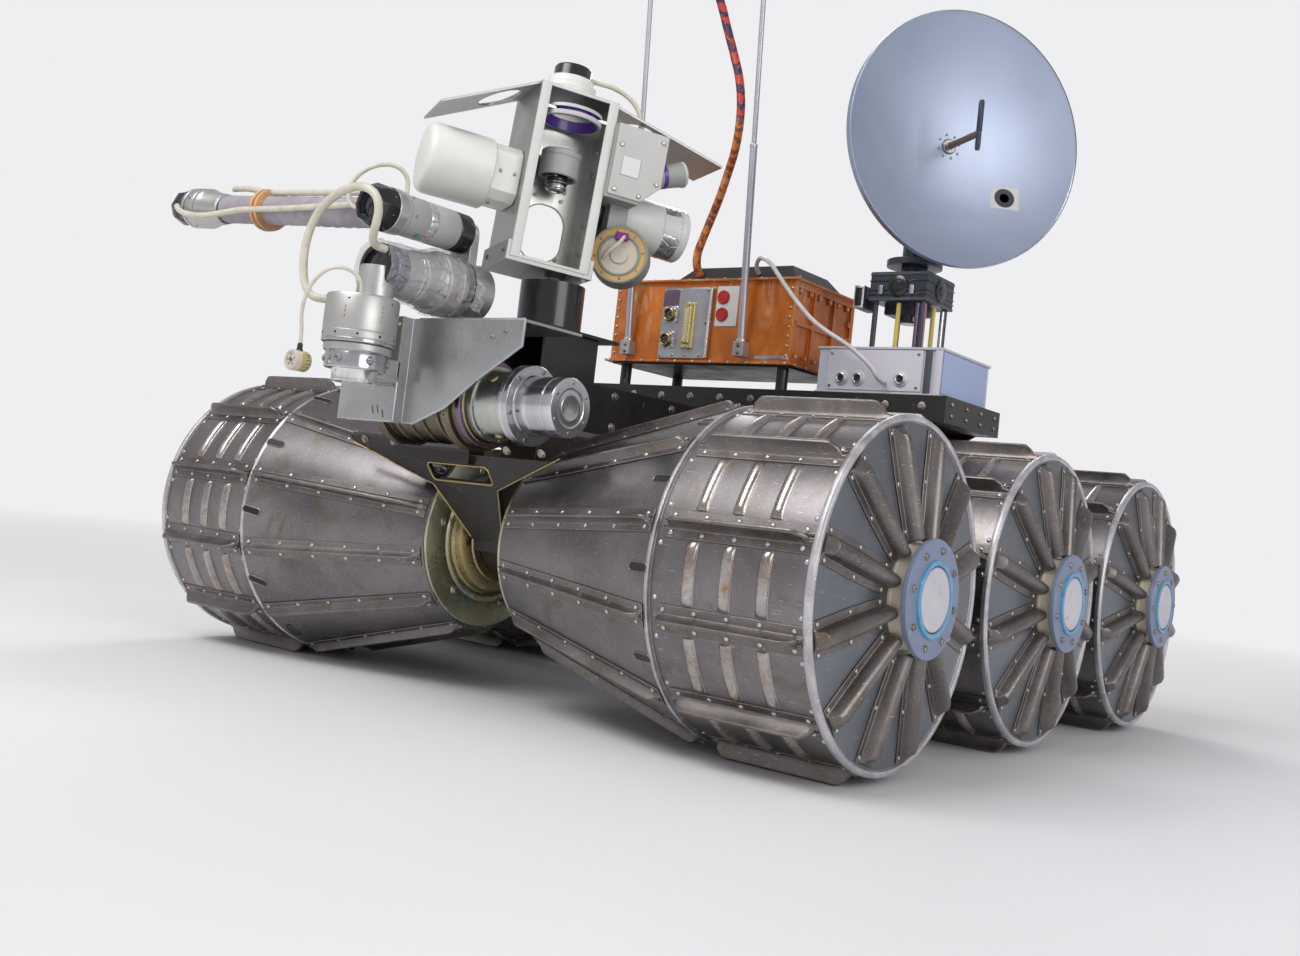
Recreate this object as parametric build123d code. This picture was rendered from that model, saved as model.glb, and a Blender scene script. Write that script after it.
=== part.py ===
"""Six-wheeled planetary rover with cone wheels, an arm, a camera head and a dish.

Units are millimetres.  X points forward, Y to the rover's left and Z up.  While it is being
built, the origin lies on the ground under the middle axle.  At the end everything is moved so
that the origin is on the ground at the middle of the rover's outline.
"""
from build123d import *
from math import atan2, cos, radians, sin, sqrt, tan
import os

# Wheels
rim_radius = 175.0          # turned edge of the outer face
shell_radius = 171.5        # rolled sheet of the cylinder
joint_radius = 176.5        # flared edge where cone and cylinder meet
cone_small_radius = 109.0
rim_plane = 495.0           # outer rim from the rover's centre plane
rim_edge = 8.0
cylinder_length = 177.0
cone_length = 257.0
lugs_per_wheel = 12
lug_tip_radius = 189.3
lug_thickness = 4.0
lug_corner = 8.0
lug_root = 3.0              # how far a lug reaches into the solid behind the sheet
cone_lug_height = 12.0
cone_lug_margin = 8.0
cylinder_lug_margin = 12.0
axle_spacing = 384.0

# Outer face of a wheel
face_rise = 12.0
face_rib_height = 14.0
face_rib_base = 20.0
face_rib_top = 10.0
face_rib_margin = 9.0       # from the rim
hub_radius = 54.0
hub_length = 14.0
hub_plate_radius = 58.0
hub_plate_thickness = 6.0
hub_cap_radius = 37.0
hub_cap_thickness = 3.0

# Inner flange of a wheel and the axle housings
flange_thickness = 4.0
flange_margin = 1.0
boss_radius = 70.0
boss_taper = 20.0
boss_length = 20.0
bearing_gap = 0.5
axle_radius = 42.0
pylon_length = 64.0
pylon_width = 56.0

# Backbone and deck
backbone_width = 84.0
backbone_height = 60.0
backbone_front = 50.0       # past the front axle
backbone_rear = 60.0        # past the rear axle
deck_top = 416.0
deck_thickness = 33.0
deck_length = 168.0
deck_width = 764.0
frame_plate = 5.0
frame_reach = 30.0          # from the deck's end to the frame plate's end
frame_tip = 40.0
wheel_gap = 7.0             # frame plates to turning wheels

# Front bracket: an inclined plate, narrow at the axle and wide at the top
vee_foot_reach = 62.0       # ahead of the front axle
vee_top_reach = 146.0
vee_rise = 106.5            # from the axle to the top edge
vee_foot_width = 50.0
vee_neck_width = 104.0
vee_neck_share = 0.56       # of the plate's height
vee_top_width = 330.0
vee_band = 8.0
vee_thickness = 6.0
vee_window_width = 96.0
vee_window_height = 24.0
strut_height = 28.0
saddle_length = 24.0

# Electronics box on the deck
box_length = 164.0
box_width = 304.0
box_height = 118.0
box_flange = 6.0
box_flange_thickness = 3.0
box_pocket = 4.0
box_border = 8.0
box_rib = 5.0
foot_radius = 8.0
foot_height = 33.0
foot_inset = 18.0
lid_length = 140.0
lid_width = 206.0
lid_height = 26.0
lid_slope = 22.0
lid_shift = (-6.0, 38.0)
panel_width = 86.0
panel_height = 100.0
panel_depth = 4.0
panel_y = -21.0
marker_size = (36.0, 56.0)
marker_depth = 1.0
marker_y = 45.0
marker_z = 80.0

# Motor control box at the deck's left end
control_length = 150.0
control_width = 176.0
control_height = 61.0
control_inset = 16.0        # from the deck's left end
control_front = 72.0
control_lid = 3.0
control_recess = 2.0

# Mast rods
rod_places = (-115.0, 80.0)
rod_radius = 5.0
rod_upper_radius = 3.5
rod_joint_height = 285.0    # above the clamp
rod_height = 550.0
rod_lean = 4.3
rod_clamp = 16.0
rod_clamp_height = 20.0

# Dish antenna
dish_place = (10.0, 7.0)    # from the deck's middle and from the control box's middle
dish_yaw = 55.0
dish_axis_height = 264.0    # above the control box
dish_radius = 160.0
dish_depth = 42.0
dish_sheet = 3.0
dish_rings = 5
dish_offset = 58.0          # vertex ahead of the turning axis
feed_length = 74.0
feed_radius = 4.0
feed_bar = 62.0
post_height = 64.0
post_radius = 3.5
drive_box = 80.0
drive_box_height = 38.0
drive_neck_radius = 17.0
drive_neck_height = 12.0
turntable_radius = 36.0
turntable_thickness = 8.0
dish_mast_radius = 14.0
fork_width = 44.0
fork_plate = 5.0
fork_length = 24.0
trunnion_radius = 6.0
trunnion_gap = 0.05

# Camera head
head_ahead = 5.0            # of the front axle
head_yaw = -29.4
head_lean = 4.1
stand_height = 57.0
stand_plate = 4.0
stand_width = 60.0
stand_reach = 86.0          # behind the motor's axis
head_motor_radius = 39.0
head_motor_height = 55.0
yoke_height = 24.0
yoke_sheet = 5.0
head_frame_height = 212.0
head_frame_width = 98.0
head_frame_depth = 100.0
head_frame_wall = 4.0
head_frame_x = 25.0         # centre of the frame ahead of the pan axis
head_back = -8.0            # back web from the frame's middle
ring_shelf = 182.0          # above the frame's bottom
ring_radius = 33.0
window_size = (54.0, 70.0)
window_height = 48.0
lens_height = 112.0         # above the frame's bottom
lens_size = (24.0, 32.0)    # radius and length
lens_shank = (12.0, 16.0)
cap_cone = (36.0, 26.0, 26.0)   # two radii and height
cap_size = (23.0, 16.0)
shade_reach = (110.0, 150.0)    # ahead and behind
shade_drop = (58.0, 34.0)
shade_sheet = 3.0
shade_hole = (23.0, 32.0)
front_camera_height = 97.5  # above the frame's bottom
front_block_width = 66.0
front_block_length = 34.0
front_block_chamfer = 10.0
front_camera_radius = 42.0
front_camera_length = 78.0
side_camera_height = 97.5
side_camera_length = 90.0
side_camera_reach = 68.0
side_camera_cut = 24.0
side_camera_y = 7.0
side_camera_depth = 47.0
side_tube_angle = 70.0
side_tube_radius = 15.0
side_tube_length = 64.0
rear_camera_height = 96.0
rear_camera_radius = 34.0
rear_camera_length = 140.0
rear_camera_y = -30.0
rear_drum_radius = 36.0
rear_drum_width = 34.0
rear_drum_drop = 61.0       # its middle below the side camera
rear_drum_y = 27.0
rear_drum_yaw = -28.0

# Arm
shoulder_ahead = 130.0      # of the front axle
shoulder_height = 151.5     # above the axle
shoulder_radius = 46.0
shoulder_flange_radius = 54.0
shoulder_flange_width = 12.0
shoulder_low = -92.0
shoulder_high = 30.0
seat_gap = 0.4
moving_gap = 5.0
motor_steps = ((50.0, 14.0), (42.0, 10.0), (37.0, 40.0), (44.0, 13.0), (32.0, 52.0))
bracket_ahead = 58.0        # of the shoulder axis
bracket_sheet = 3.0
bracket_drop = 32.0         # below the shoulder axis
bracket_rise = 84.0
bracket_left = 136.0
bracket_edge = ((33.0, 96.0), (76.0, 65.0), (136.0, 28.0))  # places and depths under the top
bracket_shelf = 90.0
channel_left = -30.0
channel_depth = 15.0
channel_width = 95.0
mount_plate = 5.0
mount_arm = 24.0
mount_ring = 8.0
turret_ahead = 126.0        # of the shoulder axis
arm_y = -40.0
turret_radius = 39.0
turret_height = 43.0        # bottom of the turret above the shoulder axis
turret_length = 52.0
elbow_height = 131.0        # above the shoulder axis
elbow_radius = 36.0
elbow_length = 76.0
elbow_nose_radius = 30.0
elbow_nose_length = 46.0
elbow_back = 130.0          # its end behind the turret's axis
neck_radius = 20.0
neck_back = 14.0
link_thickness = 12.0
link_width = 32.0
link_ring = 30.0
forearm_height = 64.0       # above the elbow axis
forearm_drive_radius = 23.0
forearm_drive_length = 116.0
lens_radius = 25.0
lens_length = 26.0
forearm_back = 34.0         # tube behind the turret axis
forearm_rise = 4.0
forearm_length = 300.0
forearm_radius = 16.0
collar_length = 66.0
collar_radius = 25.0
wrist_length = 36.0
wrist_radius = 22.0

# Cables
box_cable_diameter = 6.0
mast_cable_diameter = 12.0
loop_diameter = 9.0
plug_cable_diameter = 4.0
lens_cable_diameter = 5.0
head_cable_diameter = 6.0
cable_gap = 0.3
plug_radius = 11.0
plug_length = 20.0

LOW = (Align.CENTER, Align.CENTER, Align.MIN)

# Sizes that follow from the ones above
joint_plane = rim_plane - cylinder_length
small_end = joint_plane - cone_length
axle_half = small_end - flange_thickness - boss_length - bearing_gap
lug_pitch = 360.0 / lugs_per_wheel
half_pitch = radians(lug_pitch / 2)
axle_height = lug_tip_radius * cos(half_pitch) + lug_thickness / 2 * sin(half_pitch)
hub_seat = rim_plane + face_rise
deck_bottom = deck_top - deck_thickness
backbone_bottom = deck_bottom - backbone_height
box_bottom = deck_top + foot_height
box_top = box_bottom + box_height
control_left = deck_width / 2 - control_inset
control_top = deck_top + control_height
dish_x = dish_place[0]
dish_y = control_left - control_width / 2 + dish_place[1]
dish_axis_z = control_top + dish_axis_height
head_x = axle_spacing + head_ahead
head_base = deck_bottom + stand_height
head_seat = head_base + head_motor_height
frame_bottom = head_seat + bearing_gap + yoke_sheet + 8
frame_top = frame_bottom + head_frame_height
shoulder_x = axle_spacing + shoulder_ahead
shoulder_z = axle_height + shoulder_height
turret_x = shoulder_x + turret_ahead
turret_bottom = shoulder_z + turret_height
turret_top = turret_bottom + turret_length
elbow_z = shoulder_z + elbow_height
forearm_z = elbow_z + forearm_height
forearm_x = turret_x - forearm_back
axles = (("front", axle_spacing), ("mid", 0.0), ("rear", -axle_spacing))

parts = {}
loose = []                  # cables and what hangs on them


def add(name, shape, *places):
    """Keep a node, moved by the given places."""
    for place in places:
        shape = place * shape
    parts[name] = shape


def outline(points):
    """A flat face in the XY plane from its corner points."""
    return make_face(Polyline(*points, close=True))


def turned(points):
    """Turn an outline of (radius, y) points about the Y axis."""
    return revolve(outline(points), Axis.Y)


def block(x, y, z):
    """A box from (low, high) pairs."""
    size = [high - low for low, high in (x, y, z)]
    centre = [(high + low) / 2 for low, high in (x, y, z)]
    return Pos(*centre) * Box(*size)


def rod(start, end, radius):
    """A round bar between two points."""
    axis = Vector(*end) - Vector(*start)
    return extrude(Plane(start, z_dir=axis) * Circle(radius), axis.length)


def drum_x(radius, low, high, y=0.0, z=0.0):
    """A cylinder along X between two places."""
    return rod((low, y, z), (high, y, z), radius)


def drum_y(radius, low, high, x=0.0, z=0.0):
    """A cylinder along Y between two places."""
    return rod((x, low, z), (x, high, z), radius)


def drum_z(radius, low, high, x=0.0, y=0.0):
    """A cylinder along Z between two places."""
    return rod((x, y, low), (x, y, high), radius)


def plate_x(points, low, high):
    """A plate with an outline of (y, z) points between two places along X."""
    return Pos(low, 0, 0) * extrude(Plane.YZ * outline(points), high - low)


def plate_y(points, low, high):
    """A plate with an outline of (x, z) points between two places along Y."""
    return Pos(0, high, 0) * extrude(Plane.XZ * outline(points), high - low)


def cable(name, points, diameter, *places):
    """A round cable along straight runs, with arcs as large as the runs allow."""
    corners = [Vector(*point) for point in points]
    radii = []
    for before, corner, after in zip(corners, corners[1:], corners[2:]):
        shorter = min((corner - before).length, (after - corner).length)
        half_turn = radians((corner - before).get_angle(after - corner)) / 2
        radii.append(0.45 * shorter / tan(half_turn))
    path = FilletPolyline(*corners, radius=radii)
    start = Plane(corners[0], z_dir=corners[1] - corners[0])
    shape = sweep(start * Circle(diameter / 2), path=path)
    section = Circle(diameter / 2).area
    print(name, "length", round(path.length, 1), "volume share", round(shape.volume / section / path.length, 4),
          "least radius", round(min(radii), 1))
    add(name, shape, *places)
    loose.append(name)


def cone_radius(y):
    """Radius of the cone's sheet at a distance from the centre plane."""
    share = (y - small_end) / cone_length
    return cone_small_radius + share * (joint_radius - cone_small_radius)


def lug(points):
    """A radial plate from an outline of (radius, y) points."""
    return extrude(outline(points), lug_thickness / 2, both=True)


def wheel_shell():
    """Cylinder and long inner cone with both rows of lugs."""
    end = rim_plane - rim_edge
    body = turned([
        (0, small_end), (cone_small_radius, small_end), (joint_radius, joint_plane),
        (shell_radius, joint_plane), (shell_radius, end), (0, end),
    ])
    low = joint_plane + cylinder_lug_margin
    high = end - cylinder_lug_margin / 2
    root = shell_radius - lug_root
    tip = sqrt(lug_tip_radius ** 2 - (lug_thickness / 2) ** 2)
    cylinder_lug = lug([
        (root, low), (tip - lug_corner, low), (tip, low + lug_corner),
        (tip, high - lug_corner), (tip - lug_corner, high), (root, high),
    ])
    low = small_end + cone_lug_margin
    high = joint_plane - cone_lug_margin
    cone_lug = lug([
        (cone_radius(low) - lug_root, low),
        (cone_radius(low) + cone_lug_height - lug_corner, low),
        (cone_radius(low + lug_corner) + cone_lug_height, low + lug_corner),
        (cone_radius(high - lug_corner) + cone_lug_height, high - lug_corner),
        (cone_radius(high) + cone_lug_height - lug_corner, high),
        (cone_radius(high) - lug_root, high),
    ])
    lugs = [Rot(0, (number + 0.5) * lug_pitch, 0) * shape
            for number in range(lugs_per_wheel) for shape in (cylinder_lug, cone_lug)]
    return body + lugs


def wheel_face():
    """Shallow cone with a turned edge and radial ribs of hat section."""
    body = turned([
        (0, rim_plane - rim_edge), (rim_radius, rim_plane - rim_edge), (rim_radius, rim_plane),
        (hub_radius, hub_seat), (0, hub_seat),
    ])
    slope = atan2(face_rise, rim_radius - hub_radius)
    length = (rim_radius - face_rib_margin - hub_radius) / cos(slope)
    section = outline([
        (-face_rib_base / 2, -face_rib_height / 2), (face_rib_base / 2, -face_rib_height / 2),
        (face_rib_top / 2, face_rib_height), (-face_rib_top / 2, face_rib_height),
    ])
    start = Plane(origin=(hub_radius - 1, hub_seat, 0), x_dir=(0, 0, 1), z_dir=(cos(slope), -sin(slope), 0))
    if start.y_dir.Y < 0:
        start = Plane(origin=start.origin, x_dir=(0, 0, -1), z_dir=start.z_dir)
    rib = extrude(start * section, length)
    ribs = [Rot(0, (number + 0.5) * lug_pitch, 0) * rib for number in range(lugs_per_wheel)]
    return body + ribs


def wheel_hub():
    """Outer hub with its bolted plate and cap, and the inner flange with its boss."""
    band_end = hub_seat + hub_length
    plate_end = band_end + hub_plate_thickness
    outer = turned([
        (0, hub_seat), (hub_radius - 2, hub_seat), (hub_radius - 2, band_end), (hub_plate_radius, band_end),
        (hub_plate_radius, plate_end), (hub_cap_radius, plate_end),
        (hub_cap_radius, plate_end + hub_cap_thickness), (0, plate_end + hub_cap_thickness),
    ])
    plate = small_end - flange_thickness
    inner = turned([
        (0, small_end), (cone_small_radius - flange_margin, small_end),
        (cone_small_radius - flange_margin, plate), (boss_radius, plate),
        (boss_radius - boss_taper, plate - boss_length), (0, plate - boss_length),
    ])
    return Compound([outer, inner])


def make_wheels():
    """Six wheels; the right side mirrors the left."""
    pieces = {"shell": wheel_shell(), "face": wheel_face(), "hub": wheel_hub()}
    for axle, x in axles:
        for side, flip in (("left", False), ("right", True)):
            for piece, shape in pieces.items():
                placed = mirror(shape, Plane.XZ) if flip else shape
                add(f"wheel_{axle}_{side}_{piece}", placed, Pos(x, 0, axle_height))


def make_axles():
    """Cross tube and a pylon up to the backbone, on each axle."""
    housings = []
    for _, x in axles:
        tube = drum_y(axle_radius, -axle_half, axle_half, x, axle_height)
        pylon = block((x - pylon_length / 2, x + pylon_length / 2), (-pylon_width / 2, pylon_width / 2),
                      (axle_height, backbone_bottom))
        housings.append(tube + pylon)
    add("axle_housings", Compound(housings))


def make_backbone():
    """Long box beam over the three axles."""
    add("backbone", block((-axle_spacing - backbone_rear, axle_spacing + backbone_front),
                          (-backbone_width / 2, backbone_width / 2), (backbone_bottom, deck_bottom)))


def clear_height(x, y):
    """Lowest height of a frame plate over a turning wheel, at a place from its axle."""
    sweep_radius = min(cone_radius(y) + cone_lug_height, lug_tip_radius) + wheel_gap
    return axle_height + sqrt(max(sweep_radius ** 2 - x ** 2, 0))


def foot_places():
    """Where the box's four feet stand."""
    half_x = box_length / 2 - foot_inset
    half_y = box_width / 2 - foot_inset
    return [(x, y) for x in (-half_x, half_x) for y in (-half_y, half_y)]


def make_deck():
    """Deck over the middle wheels with the box's feet, and the plates that carry it."""
    body = block((-deck_length / 2, deck_length / 2), (-deck_width / 2, deck_width / 2),
                 (deck_bottom, deck_top))
    feet = [drum_z(foot_radius, deck_top, box_bottom, x, y) for x, y in foot_places()]
    add("deck", body + feet)

    inner = backbone_width / 2 + bearing_gap
    near = deck_length / 2 - frame_plate
    outer = deck_width / 2 - frame_reach
    plates = []
    for x in (-deck_length / 2, near):
        for side in (-1, 1):
            points = [
                (inner, deck_bottom), (inner, clear_height(near, small_end)),
                (small_end, clear_height(near, small_end)),
                (outer - frame_tip, clear_height(near, outer - frame_tip)), (outer, deck_bottom),
            ]
            plates.append(plate_x([(side * y, z) for y, z in points], x, x + frame_plate))
    add("deck_frame", Compound(plates))


def make_front_bracket():
    """Inclined triangular plate with a window, from the front axle up to the shoulder."""
    foot = Vector(axle_spacing + vee_foot_reach, 0, axle_height)
    top = Vector(axle_spacing + vee_top_reach, 0, axle_height + vee_rise)
    up = (top - foot).normalized()
    length = (top - foot).length
    plane = Plane(origin=foot, x_dir=(0, 1, 0), z_dir=Vector(0, 1, 0).cross(up))
    neck = vee_neck_share * length
    half = [(vee_foot_width / 2, 0), (vee_neck_width / 2, neck), (vee_top_width / 2, length - vee_band),
            (vee_top_width / 2, length)]
    points = half + [(-y, z) for y, z in reversed(half)]
    sheet = extrude(plane * outline(points), vee_thickness / 2, both=True)
    window = plane * Pos(0, neck + vee_window_height / 2 + vee_thickness) * RectangleRounded(
        vee_window_width, vee_window_height, vee_thickness)
    sheet = sheet - extrude(window, vee_thickness, both=True)
    strut = block((axle_spacing, foot.X), (-vee_foot_width / 2, vee_foot_width / 2),
                  (axle_height - strut_height / 2, axle_height + strut_height / 2))
    strut = strut - drum_y(axle_radius, -axle_half, axle_half, axle_spacing, axle_height)
    saddle = block((shoulder_x - saddle_length / 2, shoulder_x + saddle_length / 2),
                   (shoulder_low, shoulder_high),
                   (top.Z - saddle_length, shoulder_z - shoulder_radius))
    seat = drum_y(shoulder_flange_radius + seat_gap, shoulder_low - 1, shoulder_high + 1, shoulder_x, shoulder_z)
    sweep_space = drum_y(shoulder_flange_radius + moving_gap, shoulder_high, vee_top_width,
                         shoulder_x, shoulder_z)
    add("front_bracket", sheet + strut + saddle - seat - sweep_space)


def make_box():
    """Electronics box with flanges, pocketed sides, lid and front panels."""
    half_x = box_length / 2
    half_y = box_width / 2
    low = box_bottom + box_flange_thickness
    high = box_top - box_flange_thickness
    body = block((-half_x, half_x), (-half_y, half_y), (box_bottom, box_top))
    for side in (-1, 1):
        face = side * half_y
        pocket = block((-half_x + box_border, half_x - box_border), sorted((face - side * box_pocket, face + side)),
                       (low + box_border, high - box_border))
        ribs = [block((x - box_rib / 2, x + box_rib / 2), sorted((face - side * box_pocket, face)), (low, high))
                for x in (-half_x / 3, half_x / 3)]
        middle = (low + high) / 2
        shelf = block((-half_x + box_border, half_x - box_border), sorted((face - side * box_pocket, face)),
                      (middle - box_rib / 2, middle + box_rib / 2))
        body = body - pocket + ribs + shelf
    rims = [block((-half_x - box_flange, half_x + box_flange), (-half_y - box_flange, half_y + box_flange),
                  (z, z + box_flange_thickness)) for z in (box_bottom, high)]
    add("electronics_box", body + rims)

    base = Pos(*lid_shift, box_top) * Rectangle(lid_length, lid_width)
    top = Pos(*lid_shift, box_top + lid_height) * Rectangle(lid_length - 2 * lid_slope, lid_width - 2 * lid_slope)
    add("box_lid", loft([base, top]))

    foot = low + box_flange_thickness
    panel = block((half_x, half_x + panel_depth), (panel_y - panel_width / 2, panel_y + panel_width / 2),
                  (foot, foot + panel_height))
    width, height = marker_size
    marker = block((half_x, half_x + marker_depth), (marker_y - width / 2, marker_y + width / 2),
                   (box_bottom + marker_z - height / 2, box_bottom + marker_z + height / 2))
    add("front_panels", Compound([panel, marker]))


def make_control_box():
    """Instrument case with recessed sides and a lid, at the deck's left end."""
    back = control_front - control_length
    right = control_left - control_width
    inset = control_recess
    case = block((back + inset, control_front - inset), (right + inset, control_left - inset),
                 (deck_top, control_top - control_lid))
    lid = block((back, control_front), (right, control_left), (control_top - control_lid, control_top))
    plinth = block((back, control_front), (right, control_left), (deck_top, deck_top + control_lid))
    add("control_box", case + lid + plinth)


def rod_place(y, height):
    """A point of a mast rod's axis at a height above its clamp."""
    foot_x = box_length / 2 + rod_clamp / 2
    foot_z = box_bottom + box_flange_thickness + box_flange
    return (foot_x + height * tan(radians(rod_lean)), y, foot_z + height)


def make_mast():
    """Two clamped rods, each of two diameters, joined above by a cross bar."""
    pieces = []
    for y in rod_places:
        x, _, z = rod_place(y, 0)
        half = rod_clamp / 2
        clamp = block((x - half, x + half), (y - half, y + half), (z, z + rod_clamp_height))
        lower = rod(rod_place(y, half), rod_place(y, rod_joint_height), rod_radius)
        upper = rod(rod_place(y, rod_joint_height), rod_place(y, rod_height), rod_upper_radius)
        pieces.append(clamp + lower + upper)
    bar = rod(rod_place(rod_places[0] - rod_clamp, rod_height), rod_place(rod_places[1] + rod_clamp, rod_height),
              rod_radius)
    add("mast_rods", pieces[0] + pieces[1] + bar)


def make_dish():
    """Posts and drive box, turntable with its fork, and the reflector with its feed."""
    drive_z = control_top + post_height
    half = drive_box / 2
    inset = half - 2 * post_radius
    posts = [rod((x, y, control_top), (x, y, drive_z), post_radius) for x in (-inset, inset)
             for y in (-inset, inset)]
    body = block((-half, half), (-half, half), (drive_z, drive_z + drive_box_height))
    neck_z = drive_z + drive_box_height
    neck = drum_z(drive_neck_radius, neck_z, neck_z + drive_neck_height)
    add("dish_stand", body + posts + neck, Pos(dish_x, dish_y, 0))

    table_z = neck_z + drive_neck_height + bearing_gap
    table = drum_z(turntable_radius, table_z, table_z + turntable_thickness)
    bridge_z = dish_axis_z - dish_mast_radius - 2 * fork_plate
    mast = drum_z(dish_mast_radius, table_z + turntable_thickness, bridge_z)
    half_fork = fork_width / 2
    bridge = block((-fork_length / 2, fork_length / 2), (-half_fork, half_fork), (bridge_z, bridge_z + fork_plate))
    cheeks = [block((-fork_length / 2, fork_length / 2), sorted((side * half_fork, side * (half_fork - fork_plate))),
                    (bridge_z, dish_axis_z + fork_length / 2)) for side in (-1, 1)]
    bore = drum_y(trunnion_radius + trunnion_gap, -fork_width, fork_width, 0, dish_axis_z)
    turn = Pos(dish_x, dish_y, 0) * Rot(0, 0, dish_yaw)
    add("dish_turntable", table + mast + bridge + cheeks - bore, turn)

    radii = [dish_radius * number / dish_rings for number in range(dish_rings + 1)]
    front = [(dish_offset + dish_depth * (radius / dish_radius) ** 2, radius) for radius in radii]
    back = [(x - dish_sheet, radius) for x, radius in reversed(front)]
    reflector = revolve(outline(front + back), Axis.X)
    carrier = drum_x(dish_mast_radius + fork_plate, dish_offset - dish_sheet - half_fork / 2,
                     dish_offset + dish_depth / dish_rings ** 2 / 2)
    slack = moving_gap / 10
    arm = block((-trunnion_radius, dish_offset - dish_sheet - half_fork / 4),
                (-half_fork + fork_plate + slack, half_fork - fork_plate - slack),
                (-trunnion_radius, trunnion_radius))
    trunnion = drum_y(trunnion_radius, -half_fork, half_fork)
    feed = drum_x(feed_radius, dish_offset, dish_offset + feed_length)
    bar = rod((dish_offset + feed_length, 0, -feed_bar / 3), (dish_offset + feed_length, 0, feed_bar * 2 / 3),
              feed_radius)
    add("dish", reflector + carrier + arm + trunnion + feed + bar, Pos(0, 0, dish_axis_z), turn)


def head_places():
    """The camera head's own frame: x looks ahead and z stays the height above the ground."""
    lean = Pos(head_frame_x, 0, head_seat) * Rot(0, -head_lean, 0) * Pos(-head_frame_x, 0, -head_seat)
    return Pos(head_x, 0, 0) * Rot(0, 0, head_yaw) * lean


def make_head_stand():
    """Folded stand on the backbone with the pan motor on it."""
    ends = [head_x - stand_reach, head_x + head_motor_radius + stand_plate]
    under = head_base - stand_plate
    near = stand_width / 2
    plate = block(ends, (-backbone_width / 2, backbone_width / 2), (under, head_base))
    legs = [block((ends[0] + stand_width / 2, ends[1] - stand_plate), sorted((side * near, side * (near + stand_plate))),
                  (deck_bottom, under)) for side in (-1, 1)]
    back = block((ends[0] + stand_width / 2, ends[0] + stand_width / 2 + stand_plate), (-near, near),
                 (deck_bottom, under))
    motor = drum_z(head_motor_radius, head_base, head_seat, head_x)
    add("head_stand", plate + legs + back + motor)


def make_head_frame():
    """Yoke on the motor's shaft and the open frame of plates on it."""
    half_x = head_frame_width / 2
    half_y = head_frame_depth / 2
    tray = frame_bottom - yoke_sheet
    base = block((head_frame_x - half_x, head_frame_x + half_x), (-half_y, half_y), (tray, frame_bottom))
    sides = [block(sorted((head_frame_x + side * half_x, head_frame_x + side * (half_x + yoke_sheet))),
                   (-half_y, half_y), (tray, tray + yoke_height)) for side in (-1, 1)]
    place = head_places()
    shaft = drum_z(head_motor_radius / 3, head_seat + bearing_gap, tray + yoke_sheet / 2, head_x)
    add("head_yoke", place * (base + sides) + shaft)

    inner_x = half_x - head_frame_wall
    shell = block((head_frame_x - half_x, head_frame_x + half_x), (-half_y, half_y), (frame_bottom, frame_top))
    hollow = block((head_frame_x - inner_x, head_frame_x + inner_x), (-half_y - 1, half_y + 1),
                   (frame_bottom + head_frame_wall, frame_top - head_frame_wall))
    web = block((head_frame_x - inner_x, head_frame_x + inner_x), (head_back - head_frame_wall, head_back),
                (frame_bottom + head_frame_wall, frame_top - head_frame_wall))
    width, height = window_size
    middle = frame_bottom + window_height
    opening = Pos(head_frame_x, head_back, middle) * Rot(90, 0, 0) * extrude(
        RectangleRounded(width, height, width * 0.45), 4 * head_frame_wall, both=True)
    shelf_z = frame_bottom + ring_shelf
    shelf = block((head_frame_x - inner_x, head_frame_x + inner_x), (-half_y, half_y),
                  (shelf_z, shelf_z + head_frame_wall))
    ring_hole = drum_z(ring_radius, shelf_z - 1, shelf_z + head_frame_wall + 1, head_frame_x,
                       head_back + ring_radius + yoke_sheet)
    add("head_frame", shell - hollow + (web - opening) + (shelf - ring_hole), place)


def make_head_optics():
    """Vertical lens inside the frame and the capped lens on its top."""
    lens_z = frame_bottom + lens_height
    radius, length = lens_size
    shank_radius, shank_length = lens_shank
    y = head_back + radius
    lens = drum_z(radius, lens_z, lens_z + length, head_frame_x, y)
    shank = drum_z(shank_radius, lens_z - shank_length, lens_z, head_frame_x, y)
    low_radius, high_radius, height = cap_cone
    cone = Pos(head_frame_x, 0, frame_top) * Cone(low_radius, high_radius, height, align=LOW)
    cap = drum_z(cap_size[0], frame_top + height, frame_top + height + cap_size[1], head_frame_x)
    add("head_optics", Compound([lens + shank, cone + cap]), head_places())


def make_head_shades():
    """Two sloping sheets with oval holes, from the frame's top to both sides."""
    wings = []
    half = shade_sheet / 2
    width = head_frame_depth * 0.42
    for side, reach, drop in zip((1, -1), shade_reach, shade_drop):
        root = head_frame_x + side * head_frame_width / 2
        end = root + side * reach
        low = frame_top - drop
        points = [(root, frame_top - shade_sheet), (end, low - half), (end, low + half), (root, frame_top)]
        sheet = plate_y(points, -width, width)
        hole = Pos(root + side * reach * 0.32, 0, frame_top) * extrude(Ellipse(*shade_hole), drop, both=True)
        wings.append(sheet - hole)
    add("head_shades", Compound(wings), head_places())


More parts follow.
